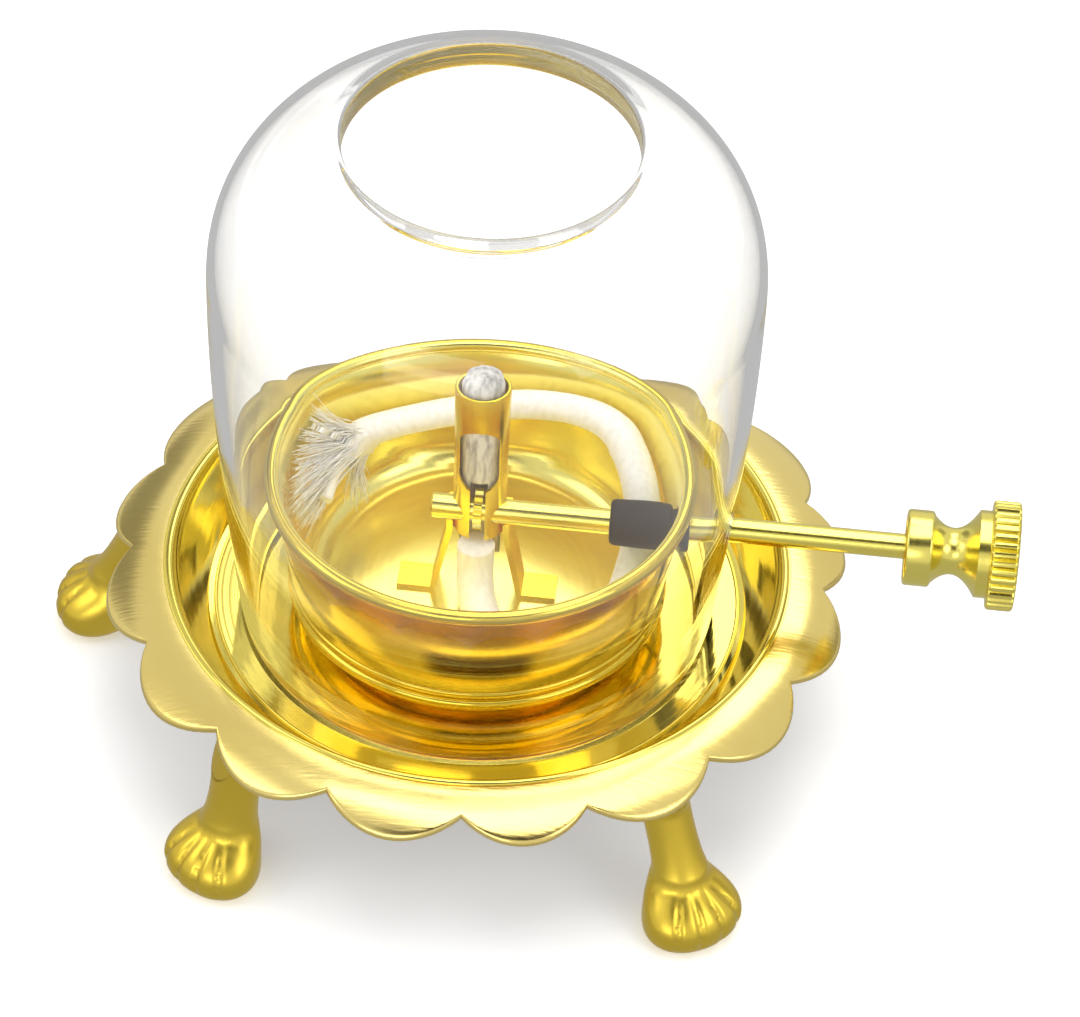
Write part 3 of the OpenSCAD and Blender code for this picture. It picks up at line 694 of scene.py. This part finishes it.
# Sections of a foot from the plate down: distance out from the leg's top, height,
# half length and half width
FOOT_SECTIONS = [
    (0.0, 27.4, 4.5, 4.5), (0.0, 25.2, 4.4, 4.4), (0.0, 22.2, 4.3, 4.3), (0.0, 18.0, 4.1, 4.1),
    (0.0, 14.0, 4.2, 4.2), (0.1, 11.2, 4.5, 4.5), (0.7, 9.2, 5.0, 5.1), (2.1, 7.6, 6.2, 6.7),
    (3.3, 5.8, 7.2, 8.1), (3.9, 3.8, 7.6, 8.6), (3.9, 2.0, 7.5, 8.6), (3.9, 0.7, 7.0, 8.1),
    (3.9, -0.9, 5.4, 6.3),
]
FOOT_SIDES, FOOT_LEVELS = 24, 3
KNEE_Z, ANKLE_Z = 21.0, 11.0
# How deep the leg's top sits in the sheet, and the slope that starts just inside the petals' edge
SOLDER_DEPTH = 0.4
SHOULDER_IN, SHOULDER_SLOPE, SHOULDER_FALL = 0.8, 2, 5
# The paw widens towards its toes, more so lower down
PAW_OUT, PAW_HALF, PAW_SPREAD = 3.9, 7.5, 0.14
SPREAD_FROM_Z, SPREAD_OVER = 9, 4
# Grooves fan out from a root by the leg, and fade at both ends
TOE_STEP, TOE_STEPS = math.radians(22), 1.6
TOE_ROOT, TOE_FROM, TOE_FADE = 0.4, 2.2, 3
TOE_DEPTH, TOE_HALF = 0.5, 0.6
TOE_LOW_Z, TOE_LOW_FADE = 0.3, 1.5
TOE_TOP_Z, TOE_TOP_FADE = 9.6, 3
# A shallow crease runs round the front of the ankle
CREASE_DEPTH, CREASE_Z, CREASE_HALF = 0.16, 9.4, 0.9
CREASE_FROM, CREASE_FADE = 2, 1.5


def model_paw():
    """A cast paw foot on +X: a ring drawn down through the sections of leg and paw."""
    out, z, long, wide = FOOT_SECTIONS[0]
    place = Vector((FOOT_R + out, 0, z)) * MM
    deselect()
    bpy.ops.mesh.primitive_circle_add(
        vertices=FOOT_SIDES, radius=MM, fill_type="NGON", location=place)
    paw = bpy.context.object
    paw.name = "paw"
    bpy.ops.object.transform_apply()
    bpy.ops.object.mode_set(mode="EDIT")
    bpy.ops.transform.resize(value=(long, wide, 1), center_override=place)
    for out, z, next_long, next_wide in FOOT_SECTIONS[1:]:
        there = Vector((FOOT_R + out, 0, z)) * MM
        bpy.ops.mesh.extrude_region_move(TRANSFORM_OT_translate={"value": there - place})
        bpy.ops.transform.resize(
            value=(next_long / long, next_wide / wide, 1), center_override=there)
        place, long, wide = there, next_long, next_wide
    bpy.ops.mesh.select_all(action="SELECT")
    bpy.ops.mesh.normals_make_consistent(inside=False)
    bpy.ops.object.mode_set(mode="OBJECT")
    finish_modifier(paw, "SUBSURF", levels=FOOT_LEVELS, render_levels=FOOT_LEVELS)
    reshape(paw, spread_paw)
    for point in paw.data.vertices:
        point.co -= point.normal * groove_depth(point.co / MM) * MM
    paw.data.update()
    return paw


def spread_paw(point):
    """Widens the paw towards its toes."""
    low = clamp((SPREAD_FROM_Z - point.z) / SPREAD_OVER)
    fan = max(-1, min(1, (point.x - FOOT_R - PAW_OUT) / PAW_HALF))
    return Vector((point.x, point.y * (1 + PAW_SPREAD * fan * low), point.z))


def groove_depth(point):
    """Depth of the grooves between the toes, and of the crease at the ankle."""
    out, side = point.x - FOOT_R - TOE_ROOT, point.y
    far = math.hypot(out, side)
    depth = 0.0
    if out > 0 and far > TOE_FROM:
        turn = math.atan2(side, out)
        nearest = (round(turn / TOE_STEP - 0.5) + 0.5) * TOE_STEP
        if abs(nearest) < TOE_STEPS * TOE_STEP:
            off = far * math.sin(turn - nearest)
            start = min(1, (far - TOE_FROM) / TOE_FADE)
            low = clamp((point.z - TOE_LOW_Z) / TOE_LOW_FADE)
            high = clamp((TOE_TOP_Z - point.z) / TOE_TOP_FADE)
            depth += start * (low * high) * TOE_DEPTH * math.exp(-(off / TOE_HALF) ** 2)
    if out > CREASE_FROM:
        crease = CREASE_DEPTH * math.exp(-((point.z - CREASE_Z) / CREASE_HALF) ** 2)
        depth += crease * min(1, (out - CREASE_FROM) / CREASE_FADE)
    return depth


def foot_points(angle, ankle_out):
    """Where a point of the paw goes on one foot: its ankle outwards, its sole and its top
    trimmed, and the top's shoulder sloped where it stands out past the petals."""
    turn = Matrix.Rotation(math.radians(angle), 3, "Z")

    def move(point):
        t = clamp((KNEE_Z - point.z) / (KNEE_Z - ANKLE_Z))
        moved = Vector((point.x + ankle_out * t, point.y, max(0, point.z)))
        r = math.hypot(moved.x, moved.y)
        edge = petal_edge(angle + math.degrees(math.atan2(moved.y, moved.x)))
        shoulder = max(0, min(SHOULDER_FALL, SHOULDER_SLOPE * (r - edge + SHOULDER_IN)))
        moved.z = min(moved.z, PLATE_UNDER - rim_drop(r) + SOLDER_DEPTH - shoulder)
        return turn @ moved
    return move


paw = model_paw()
for node, (angle, ankle_out) in FEET.items():
    foot = bpy.data.objects.new(node + "_cast", paw.data.copy())
    bpy.context.scene.collection.objects.link(foot)
    reshape(foot, foot_points(angle, ankle_out))
    smooth_by_angle(foot, 50)
    dress(foot, CAST_BRASS, "cast_brass", "lamp", node)
bpy.data.objects.remove(paw)

# ---------------------------------------------------------------- oil bowl

# The stud with the boss round it, and the ring that the bowl stands on
STUD_R, STUD_LOW_Z, STUD_BEVEL, BOSS_R = 3, 11.7, 0.4, 6
STAND_IN_R, STAND_OUT_R = 23.5, 25.5
# Two raised rings low on the wall, the upper one finer
RING_R, FINE_RING_R, FINE_RING_UP = 0.9, 0.45, 2.6
OUTER_ROUND, INNER_ROUND = 4.8, 5
ROUND_Z = BOWL_FLOOR_Z + INNER_ROUND
BUSH_HOLE_R = 3.1
BOWL_STEPS = 144


def wall_ring(z, r):
    """A raised ring on the bowl's wall."""
    return arc(wall_r(z), z, r, -75, 75, 8)


bowl_outline = (
    [(0, STUD_LOW_Z), (STUD_R - STUD_BEVEL, STUD_LOW_Z), (STUD_R, STUD_LOW_Z + STUD_BEVEL)]
    + [(STUD_R, DISH_Z), (BOSS_R, DISH_Z), (BOSS_R, BOWL_UNDER), (STAND_IN_R, BOWL_UNDER)]
    + [(STAND_IN_R, DISH_Z), (STAND_OUT_R, DISH_Z), (STAND_OUT_R, BOWL_UNDER)]
    + arc(BOWL_BASE_R - OUTER_ROUND, BOWL_RING_Z, OUTER_ROUND, -90, -14, 8)
    + wall_ring(BOWL_RING_Z, RING_R) + wall_ring(BOWL_RING_Z + FINE_RING_UP, FINE_RING_R)
    + [(wall_r(z), z) for z in (29, 32, 36, 40, 44, 46.6)]
    + arc(BOWL_TOP_R, BEAD_Z, BOWL_BEAD_R, -70, 235, 20)
    + [(wall_r(z) - BOWL_WALL, z) for z in (46, 42, 38, 34, 30)]
    + arc(wall_r(ROUND_Z) - BOWL_WALL - INNER_ROUND, ROUND_Z, INNER_ROUND, 0, -90, 10)
    + [(r, BOWL_FLOOR_Z) for r in (18, 8, 0)]
)
oil_bowl = turned("oil_bowl_turned", bowl_outline, BOWL_STEPS)
cut(oil_bowl, shaft_cutter(20, 50, BUSH_HOLE_R))
smooth_by_angle(oil_bowl, 40)
dress(oil_bowl, TURNED_BOWL_BRASS, "polished_brass", "lamp", "oil_bowl")
oil_bowl.data.materials.append(SATIN_BOWL_BRASS_PAINTED_LIGHT)
# The inside of the bowl gets the satin brass, whose paler colour is painted light
INSIDE_PAINTED_LIGHT_FINISH = 1
for face in oil_bowl.data.polygons:
    middle = face.center / MM
    inside_r = wall_r(middle.z) - BOWL_WALL / 2
    if middle.z > BOWL_FLOOR_Z - 0.1 and math.hypot(middle.x, middle.y) < inside_r:
        face.material_index = INSIDE_PAINTED_LIGHT_FINISH

# ---------------------------------------------------------------- wick tube and its wick

LIP = 0.25
TUBE_STEPS = 96
tube_outline = (
    [(TUBE_IN_R, TUBE_LOW_Z)] + [(TUBE_R, z) for z in (TUBE_LOW_Z, 45, 55)]
    + arc(TUBE_R - LIP, TUBE_TOP_Z - LIP, LIP, 0, 90, 4)
    + arc(TUBE_IN_R + LIP, TUBE_TOP_Z - LIP, LIP, 90, 180, 4)
    + [(TUBE_IN_R, z) for z in (55, 45, TUBE_LOW_Z)]
)
wick_tube = turned("wick_tube_brass", tube_outline, TUBE_STEPS)
# The window has round ends, and the wheel's slit runs down from it through the tube's foot
PAST_TUBE, SLIT_LOW_Z = 10, 30
end_r = WINDOW_W / 2
low_end, high_end = WINDOW_LOW_Z + end_r, WINDOW_LOW_Z + WINDOW_H - end_r
for z in (low_end, high_end):
    cut(wick_tube, rod_cutter((0, -PAST_TUBE, z), (0, 0, z), end_r))
cut(wick_tube, box_cutter((-end_r, -PAST_TUBE, low_end), (end_r, 0, high_end)))
cut(wick_tube, box_cutter((-SLIT_W / 2, -PAST_TUBE, SLIT_LOW_Z), (SLIT_W / 2, 0, low_end)))
cut(wick_tube, shaft_cutter(-PAST_TUBE, PAST_TUBE, SHAFT_R + SHAFT_ROOM))
smooth_by_angle(wick_tube, 30)
dress(wick_tube, TUBE_BRASS_AND_REFLECTION, "polished_brass", "lamp", "wick_tube")

STEM_STEPS, STEM_RINGS, STEM_RING_UP = 56, 68, 0.6
# The shaft presses a flat into the front of the wick, and the wheel a groove
FLAT_TOP_Z, FLAT_Y = 45.9, 0.82
GROOVE_TOP_Z, GROOVE_Y, GROOVE_HALF = 47.2, 2.12, 1.25
# Streaks along the cotton, and lumps on the tip above the tube
STREAK_DEPTH, STREAK_ROUND, STREAK_ALONG = 0.22, 4, 0.08
LUMP_SCALE, LUMP_UP, LUMP_OUT = 0.45, 0.5, 0.35
TIP_FADE, TIP_SINK = 2, 0.2
stem_outline = (
    [(0, WICK_LOW_Z), (WICK_R, WICK_LOW_Z)]
    + [(WICK_R, WICK_LOW_Z + STEM_RING_UP * i) for i in range(1, STEM_RINGS)]
    + arc(0, WICK_TIP_Z - WICK_R, WICK_R, 0, 90, 12)
)
wick_stem = turned("wick_stem_cotton", stem_outline, STEM_STEPS)


def press_stem(point):
    """Streaks the cotton lengthwise and presses it flat where the winder passes."""
    turn = math.atan2(point.y, point.x)
    r = math.hypot(point.x, point.y)
    spot = (STREAK_ROUND * math.cos(turn), STREAK_ROUND * math.sin(turn), point.z * STREAK_ALONG)
    streak = noise.noise(Vector(spot))
    lump = noise.noise(point * LUMP_SCALE)
    r -= STREAK_DEPTH * (0.5 + 0.5 * streak) * min(1, r)
    fuzzy = clamp((point.z - TUBE_TOP_Z) / TIP_FADE)
    high = point.z + fuzzy * LUMP_UP * lump - TIP_SINK * fuzzy
    r += fuzzy * LUMP_OUT * lump * min(1, r)
    moved = Vector((r * math.cos(turn), r * math.sin(turn), high))
    if point.z < GROOVE_TOP_Z and abs(moved.x) < GROOVE_HALF:
        moved.y = max(moved.y, GROOVE_Y)
    elif point.z < FLAT_TOP_Z:
        moved.y = max(moved.y, FLAT_Y)
    return moved


reshape(wick_stem, press_stem)
dress(wick_stem, OILED_COTTON, "wick_cotton", "wick", "wick")

# ---------------------------------------------------------------- winder

SHAFT_STEPS, SHAFT_BEVEL = 48, 0.4
shaft_outline = (
    [(0, SHAFT_FROM), (SHAFT_R - SHAFT_BEVEL, SHAFT_FROM), (SHAFT_R, SHAFT_FROM + SHAFT_BEVEL)]
    + [(SHAFT_R, x) for x in (0, 20, 45, 65, SHAFT_TO)] + [(0, SHAFT_TO)]
)
shaft = turned("winder_shaft_drawn", shaft_outline, SHAFT_STEPS, on_shaft)
dress(shaft, TURNED_BRASS, "turned_brass", "winder", "winder_shaft")

# The knob from the shaft outwards: a collar, a waist, a step and a knurled rim
COLLAR_R, WAIST_R, STEP_R, KNURL_R = 6.35, 3.9, 7.3, 9.1
COLLAR_LEN, WAIST_LEN, WAIST_LOW, STEP_LEN, KNURL_LEN = 4.6, 7.4, 3.3, 2.0, 4.6
RIM_X = COLLAR_LEN + WAIST_LEN + STEP_LEN
KNOB_LEN = RIM_X + KNURL_LEN
BORE_R, BORE_TO, FACE_IN = SHAFT_R + 0.02, 10, 0.8
KNOB_EDGE_R = 0.6
WAIST_STEPS = 14
FLUTES, FLUTE_COLUMNS, FLUTE_DEPTH, FLUTE_HALF = 36, 8, 0.55, 0.16
FLUTED_FROM_X, FLUTED_FROM_R = KNOB_X + RIM_X - 0.01, KNURL_R - 0.75


def waist_r(x):
    """Radius of the waist at a distance from the collar."""
    return (WAIST_R + (COLLAR_R - KNOB_EDGE_R - WAIST_R) * max(0, 1 - x / WAIST_LOW) ** 2
            + (STEP_R - WAIST_R) * max(0, (x - WAIST_LOW) / (WAIST_LEN - WAIST_LOW)) ** 2)


def knob_edge(r, x, start, end):
    """A rounded edge of the knob, from one angle to another."""
    return arc(r - KNOB_EDGE_R, x, KNOB_EDGE_R, start, end, 5)


waist_places = [WAIST_LEN * i / WAIST_STEPS for i in range(WAIST_STEPS + 1)]
knob_outline = (
    [(BORE_R, BORE_TO), (BORE_R, FACE_IN), (COLLAR_R - 2, FACE_IN), (COLLAR_R - 1.2, 0.1)]
    + knob_edge(COLLAR_R, KNOB_EDGE_R, -90, 0)
    + knob_edge(COLLAR_R, COLLAR_LEN - KNOB_EDGE_R, 0, 80)
    + [(waist_r(x), COLLAR_LEN + x) for x in waist_places]
    + [(STEP_R, RIM_X - 0.1), (STEP_R + 0.2, RIM_X)]
    + knob_edge(KNURL_R, RIM_X + KNOB_EDGE_R, -90, 0)
    + [(KNURL_R, RIM_X + 1.8), (KNURL_R, RIM_X + 2.8)]
    + knob_edge(KNURL_R, KNOB_LEN - KNOB_EDGE_R, 0, 90)
    + [(KNURL_R - 1.4, KNOB_LEN), (KNURL_R - 2.2, KNOB_LEN - 0.7)]
    + [(KNURL_R - 4, KNOB_LEN - FACE_IN), (0, KNOB_LEN - FACE_IN), (0, BORE_TO), (BORE_R, BORE_TO)]
)
knob = turned("winder_knob_turned", [(r, KNOB_X + x) for r, x in knob_outline],
              FLUTES * FLUTE_COLUMNS, on_shaft)


def press_flutes(point):
    """Presses the knurled rim's flutes in."""
    up, side = point.z - SHAFT_Z, point.y - SHAFT_Y
    r, turn = math.hypot(up, side), math.atan2(side, up)
    if point.x < FLUTED_FROM_X or r < FLUTED_FROM_R:
        return point
    off = (turn * FLUTES / FULL_TURN + 0.5) % 1 - 0.5
    r -= FLUTE_DEPTH * math.exp(-(off / FLUTE_HALF) ** 2)
    return Vector((point.x, SHAFT_Y + r * math.sin(turn), SHAFT_Z + r * math.cos(turn)))


reshape(knob, press_flutes)
smooth_by_angle(knob, 30)
dress(knob, TURNED_BRASS, "turned_brass", "winder", "winder_knob")

# The bush grips the bowl's wall between two shoulders
BUSH_FROM, BUSH_TO, BUSH_R, BUSH_NECK_R = 22.0, 35.3, 4.0, 3.08
BUSH_BORE_R, BUSH_STEPS = SHAFT_R + 0.06, 56
BUSH_ROUND, FLANGE_ROUND = 0.9, 0.6
WALL_IN_X, WALL_OUT_X = 32.3, 33.85
bush_outline = (
    [(BUSH_BORE_R, BUSH_FROM)]
    + arc(BUSH_R - 1.1, BUSH_FROM + BUSH_ROUND, BUSH_ROUND, -90, 0, 5)
    + [(BUSH_R - 0.1, 25), (BUSH_R, 27), (BUSH_R, 30), (BUSH_R - 0.2, WALL_IN_X - 0.4)]
    + [(BUSH_R - 0.6, WALL_IN_X), (BUSH_NECK_R, WALL_IN_X), (BUSH_NECK_R, WALL_OUT_X)]
    + [(BUSH_R - 0.2, WALL_OUT_X)]
    + arc(BUSH_R - FLANGE_ROUND, BUSH_TO - FLANGE_ROUND, FLANGE_ROUND, 0, 90, 5)
    + [(BUSH_BORE_R, BUSH_TO), (BUSH_BORE_R, BUSH_FROM)]
)
bush = turned("shaft_bush_rubber", bush_outline, BUSH_STEPS, on_shaft)
dress(bush, RUBBER, "bush_rubber", "lamp", "shaft_bush")

# ---------------------------------------------------------------- chimney

SIDE_STEPS, DOME_STEPS, GLASS_STEPS = 24, 40, 128
SIDE_H = CHIMNEY_WIDE_Z - DISH_Z
# The mouth is cut straight and its two edges are melted a little in the flame
EDGE_R, EDGE_ROOM = 0.8, 0.4
LIP_FROM = MOUTH_R + EDGE_R
SLOT_FROM_X, SLOT_TO_X, SLOT_LOW_Z = 20, 60, 10


def glass_face(inset, dome_h):
    """One face of the glass, from its foot up to the mouth's melted edge."""
    face = []
    for i in range(SIDE_STEPS):
        flare = CHIMNEY_FLARE * math.sin(math.pi / 2 * (i / SIDE_STEPS))
        face.append((CHIMNEY_FOOT_R - inset + flare, DISH_Z + SIDE_H * i / SIDE_STEPS))
    wide = CHIMNEY_WIDE_R - inset
    end = math.acos((MOUTH_R / wide) ** (DOME_POWER / 2))
    for i in range(DOME_STEPS + 1):
        out, up = math.cos(end * i / DOME_STEPS), math.sin(end * i / DOME_STEPS)
        face.append((wide * out ** (2 / DOME_POWER),
                     CHIMNEY_WIDE_Z + dome_h * up ** (2 / DOME_POWER)))
    return [point for point in face if point[0] > LIP_FROM + EDGE_ROOM]


outer, inner = glass_face(0, DOME_H), glass_face(GLASS_T, DOME_H - CROWN_T)
top_z, low_z = outer[-1][1], inner[-1][1]
foot_r = GLASS_T / 2
foot_arc = arc(CHIMNEY_FOOT_R - foot_r, DISH_Z + foot_r, foot_r, 180, 360, 10)
chimney_outline = (
    foot_arc + outer[1:] + arc(LIP_FROM, top_z - EDGE_R + 0.1, EDGE_R, 75, 180, 6)
    + arc(LIP_FROM, low_z + EDGE_R, EDGE_R, 180, 280, 6) + inner[:0:-1] + foot_arc[:1]
)
chimney = turned("glass_chimney_blown", chimney_outline, GLASS_STEPS)
cut(chimney, shaft_cutter(SLOT_FROM_X, SLOT_TO_X, SLOT_R))
cut(chimney, box_cutter(
    (SLOT_FROM_X, SHAFT_Y - SLOT_R, SLOT_LOW_Z), (SLOT_TO_X, SHAFT_Y + SLOT_R, SHAFT_Z)))
smooth_by_angle(chimney, 35)
dress(chimney, GLASS, "clear_glass", "chimney", "glass_chimney")

# ---------------------------------------------------------------- solids that stay as they are

for node, material in {
        "bowl_washer": TURNED_BRASS, "bowl_nut": TURNED_BRASS, "spur_wheel": TURNED_BRASS,
        "tube_stand": TUBE_BRASS_AND_REFLECTION}.items():
    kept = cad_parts[node]
    kept.data.materials.clear()
    kept.data.materials.append(material)

# ---------------------------------------------------------------- floor and light

# Strengths where 1 is white: the sky as light on things, the table's own glow, and the
# table as brass and glass reflect it
SKY_ON_THINGS = 0.8
FLOOR_GLOW = 0.3
FLOOR_IN_BRASS = 0.5
TABLE_WIDE, TABLE_DOWN = 6000, 0.3
# Name, place, the point it is turned to, width, height and brightness, where 1 is white
SOFT_BOXES = [
    ("overhead_soft_box", (80, 60, 1000), (0, 0, 30), 620, 640, 2.4),
    ("back_soft_box", (80, 640, 860), (0, 0, 30), 520, 420, 2.6),
    ("front_soft_box", (-240, -860, 450), (0, 0, 40), 640, 300, 1.9),
    ("left_soft_box", (-620, -150, 620), (0, 0, 40), 420, 420, 1.6),
    ("right_soft_box", (620, -400, 560), (0, 0, 40), 420, 420, 1.9),
]
FLAGS = [
    ("grey_left_flag", (-520, 560, 330), (0, 0, 40), 560, 500, 0.3),
    ("grey_right_flag", (640, 420, 260), (0, 0, 40), 400, 440, 0.35),
    ("dark_front_flag", (70, -455, 828), (0, 0, 40), 760, 500, 0.02),
]


def seen_white(material):
    """1 for rays from the camera, from metal and through glass; 0 for light on things."""
    path = add(material, "ShaderNodeLightPath")
    unlit = add(material, "ShaderNodeMath", {"operation": "LESS_THAN"}, {1: 0.5},
                {0: path.outputs["Diffuse Depth"]})
    from_metal = add(material, "ShaderNodeMath", {"operation": "MULTIPLY"}, links={
        0: path.outputs["Is Glossy Ray"], 1: unlit.outputs["Value"]})
    metal_too = add(material, "ShaderNodeMath", {"operation": "MAXIMUM"}, links={
        0: path.outputs["Is Camera Ray"], 1: from_metal.outputs["Value"]})
    glass_too = add(material, "ShaderNodeMath", {"operation": "MAXIMUM"}, links={
        0: metal_too.outputs["Value"], 1: path.outputs["Is Transmission Ray"]})
    return glass_too.outputs["Value"]


deselect()
bpy.ops.mesh.primitive_plane_add(size=TABLE_WIDE * MM, location=(0, 0, -TABLE_DOWN * MM))
floor = bpy.context.object
floor.name = "white_table"
# Flat white paint: an even white that keeps the lamp's soft shadow
paint = new_material("white_table_paint")
matte = add(paint, "ShaderNodeBsdfDiffuse", values={"Color": linear("#f5f5f4")})
lift = add(paint, "ShaderNodeMath", {"operation": "MULTIPLY"}, {1: FLOOR_GLOW},
           {0: seen_white(paint)})
glow = add(paint, "ShaderNodeEmission", links={"Strength": lift.outputs["Value"]})
both = add(paint, "ShaderNodeAddShader",
           links={0: matte.outputs["BSDF"], 1: glow.outputs["Emission"]})
# In the brass and on the glass the table shows darker, so that they keep their depth
path = add(paint, "ShaderNodeLightPath")
mirrored = add(paint, "ShaderNodeMath", {"operation": "GREATER_THAN"}, {1: 0.5},
               {0: path.outputs["Glossy Depth"]})
dim = add(paint, "ShaderNodeEmission", values={"Strength": FLOOR_IN_BRASS})
table = add(paint, "ShaderNodeMixShader", links={
    0: mirrored.outputs["Value"], 1: both.outputs["Shader"], 2: dim.outputs["Emission"]})
add(paint, "ShaderNodeOutputMaterial", links={"Surface": table.outputs["Shader"]})
floor.data.materials.append(paint)

world = bpy.data.worlds.new("white_room")
bpy.context.scene.world = world
world.use_nodes = True
world.node_tree.nodes.clear()
strength = add(world, "ShaderNodeMapRange", values={"To Min": SKY_ON_THINGS, "To Max": 1.0},
               links={"Value": seen_white(world)})
sky = add(world, "ShaderNodeBackground", links={"Strength": strength.outputs["Result"]})
add(world, "ShaderNodeOutputWorld", links={"Surface": sky.outputs["Background"]})


def soft_box(name, place, aim_at, width, height, brightness):
    """A soft lamp of an even brightness, turned to a point."""
    lamp = bpy.data.lights.new(name, "AREA")
    lamp.shape = "RECTANGLE"
    lamp.size, lamp.size_y = width * MM, height * MM
    lamp.energy = brightness * math.pi * width * height * MM * MM
    holder = bpy.data.objects.new(name, lamp)
    bpy.context.scene.collection.objects.link(holder)
    way = (Vector(aim_at) - Vector(place)).to_track_quat("-Z", "Y").to_matrix().to_4x4()
    holder.matrix_world = Matrix.Translation(Vector(place) * MM) @ way


def flag(name, place, aim_at, width, height, brightness):
    """A grey card that only brass and glass show, and that fades to white at its edges."""
    deselect()
    way = (Vector(aim_at) - Vector(place)).to_track_quat("Z", "Y").to_euler()
    bpy.ops.mesh.primitive_plane_add(size=MM, location=Vector(place) * MM, rotation=way)
    card = bpy.context.object
    card.name = name
    card.scale = (width, height, 1)
    bpy.ops.object.transform_apply()
    # A glowing grey card without gloss: its set brightness paints dark reflections in the brass and
    # glass
    card_glow = new_material(name + "_felt")
    coords = add(card_glow, "ShaderNodeTexCoord")
    centred = add(card_glow, "ShaderNodeVectorMath", {"operation": "SUBTRACT"}, {1: (0.5, 0.5, 0)},
                  {0: coords.outputs["UV"]})
    size = add(card_glow, "ShaderNodeVectorMath", {"operation": "ABSOLUTE"},
               links={0: centred.outputs["Vector"]})
    sides = add(card_glow, "ShaderNodeSeparateXYZ", links={"Vector": size.outputs["Vector"]})
    edge = add(card_glow, "ShaderNodeMath", {"operation": "MAXIMUM"}, links={
        0: sides.outputs["X"], 1: sides.outputs["Y"]})
    fade = add(card_glow, "ShaderNodeMapRange", {"interpolation_type": "SMOOTHSTEP"},
               {"From Min": 0.3, "From Max": 0.5, "To Min": brightness, "To Max": 1.0},
               {"Value": edge.outputs["Value"]})
    shade = add(card_glow, "ShaderNodeEmission", links={"Strength": fade.outputs["Result"]})
    add(card_glow, "ShaderNodeOutputMaterial", links={"Surface": shade.outputs["Emission"]})
    card.data.materials.append(card_glow)
    card.visible_camera = card.visible_diffuse = card.visible_shadow = False


for box in SOFT_BOXES:
    soft_box(*box)
for card in FLAGS:
    flag(*card)
bpy.context.scene.view_settings.view_transform = "Standard"

# Brass reflects brass inside the bowl behind two walls of glass, and light runs far inside
# the glass before it leaves at an edge
paths = bpy.context.scene.cycles
paths.max_bounces, paths.glossy_bounces, paths.transmission_bounces = 128, 100, 100
paths.blur_glossy = 0
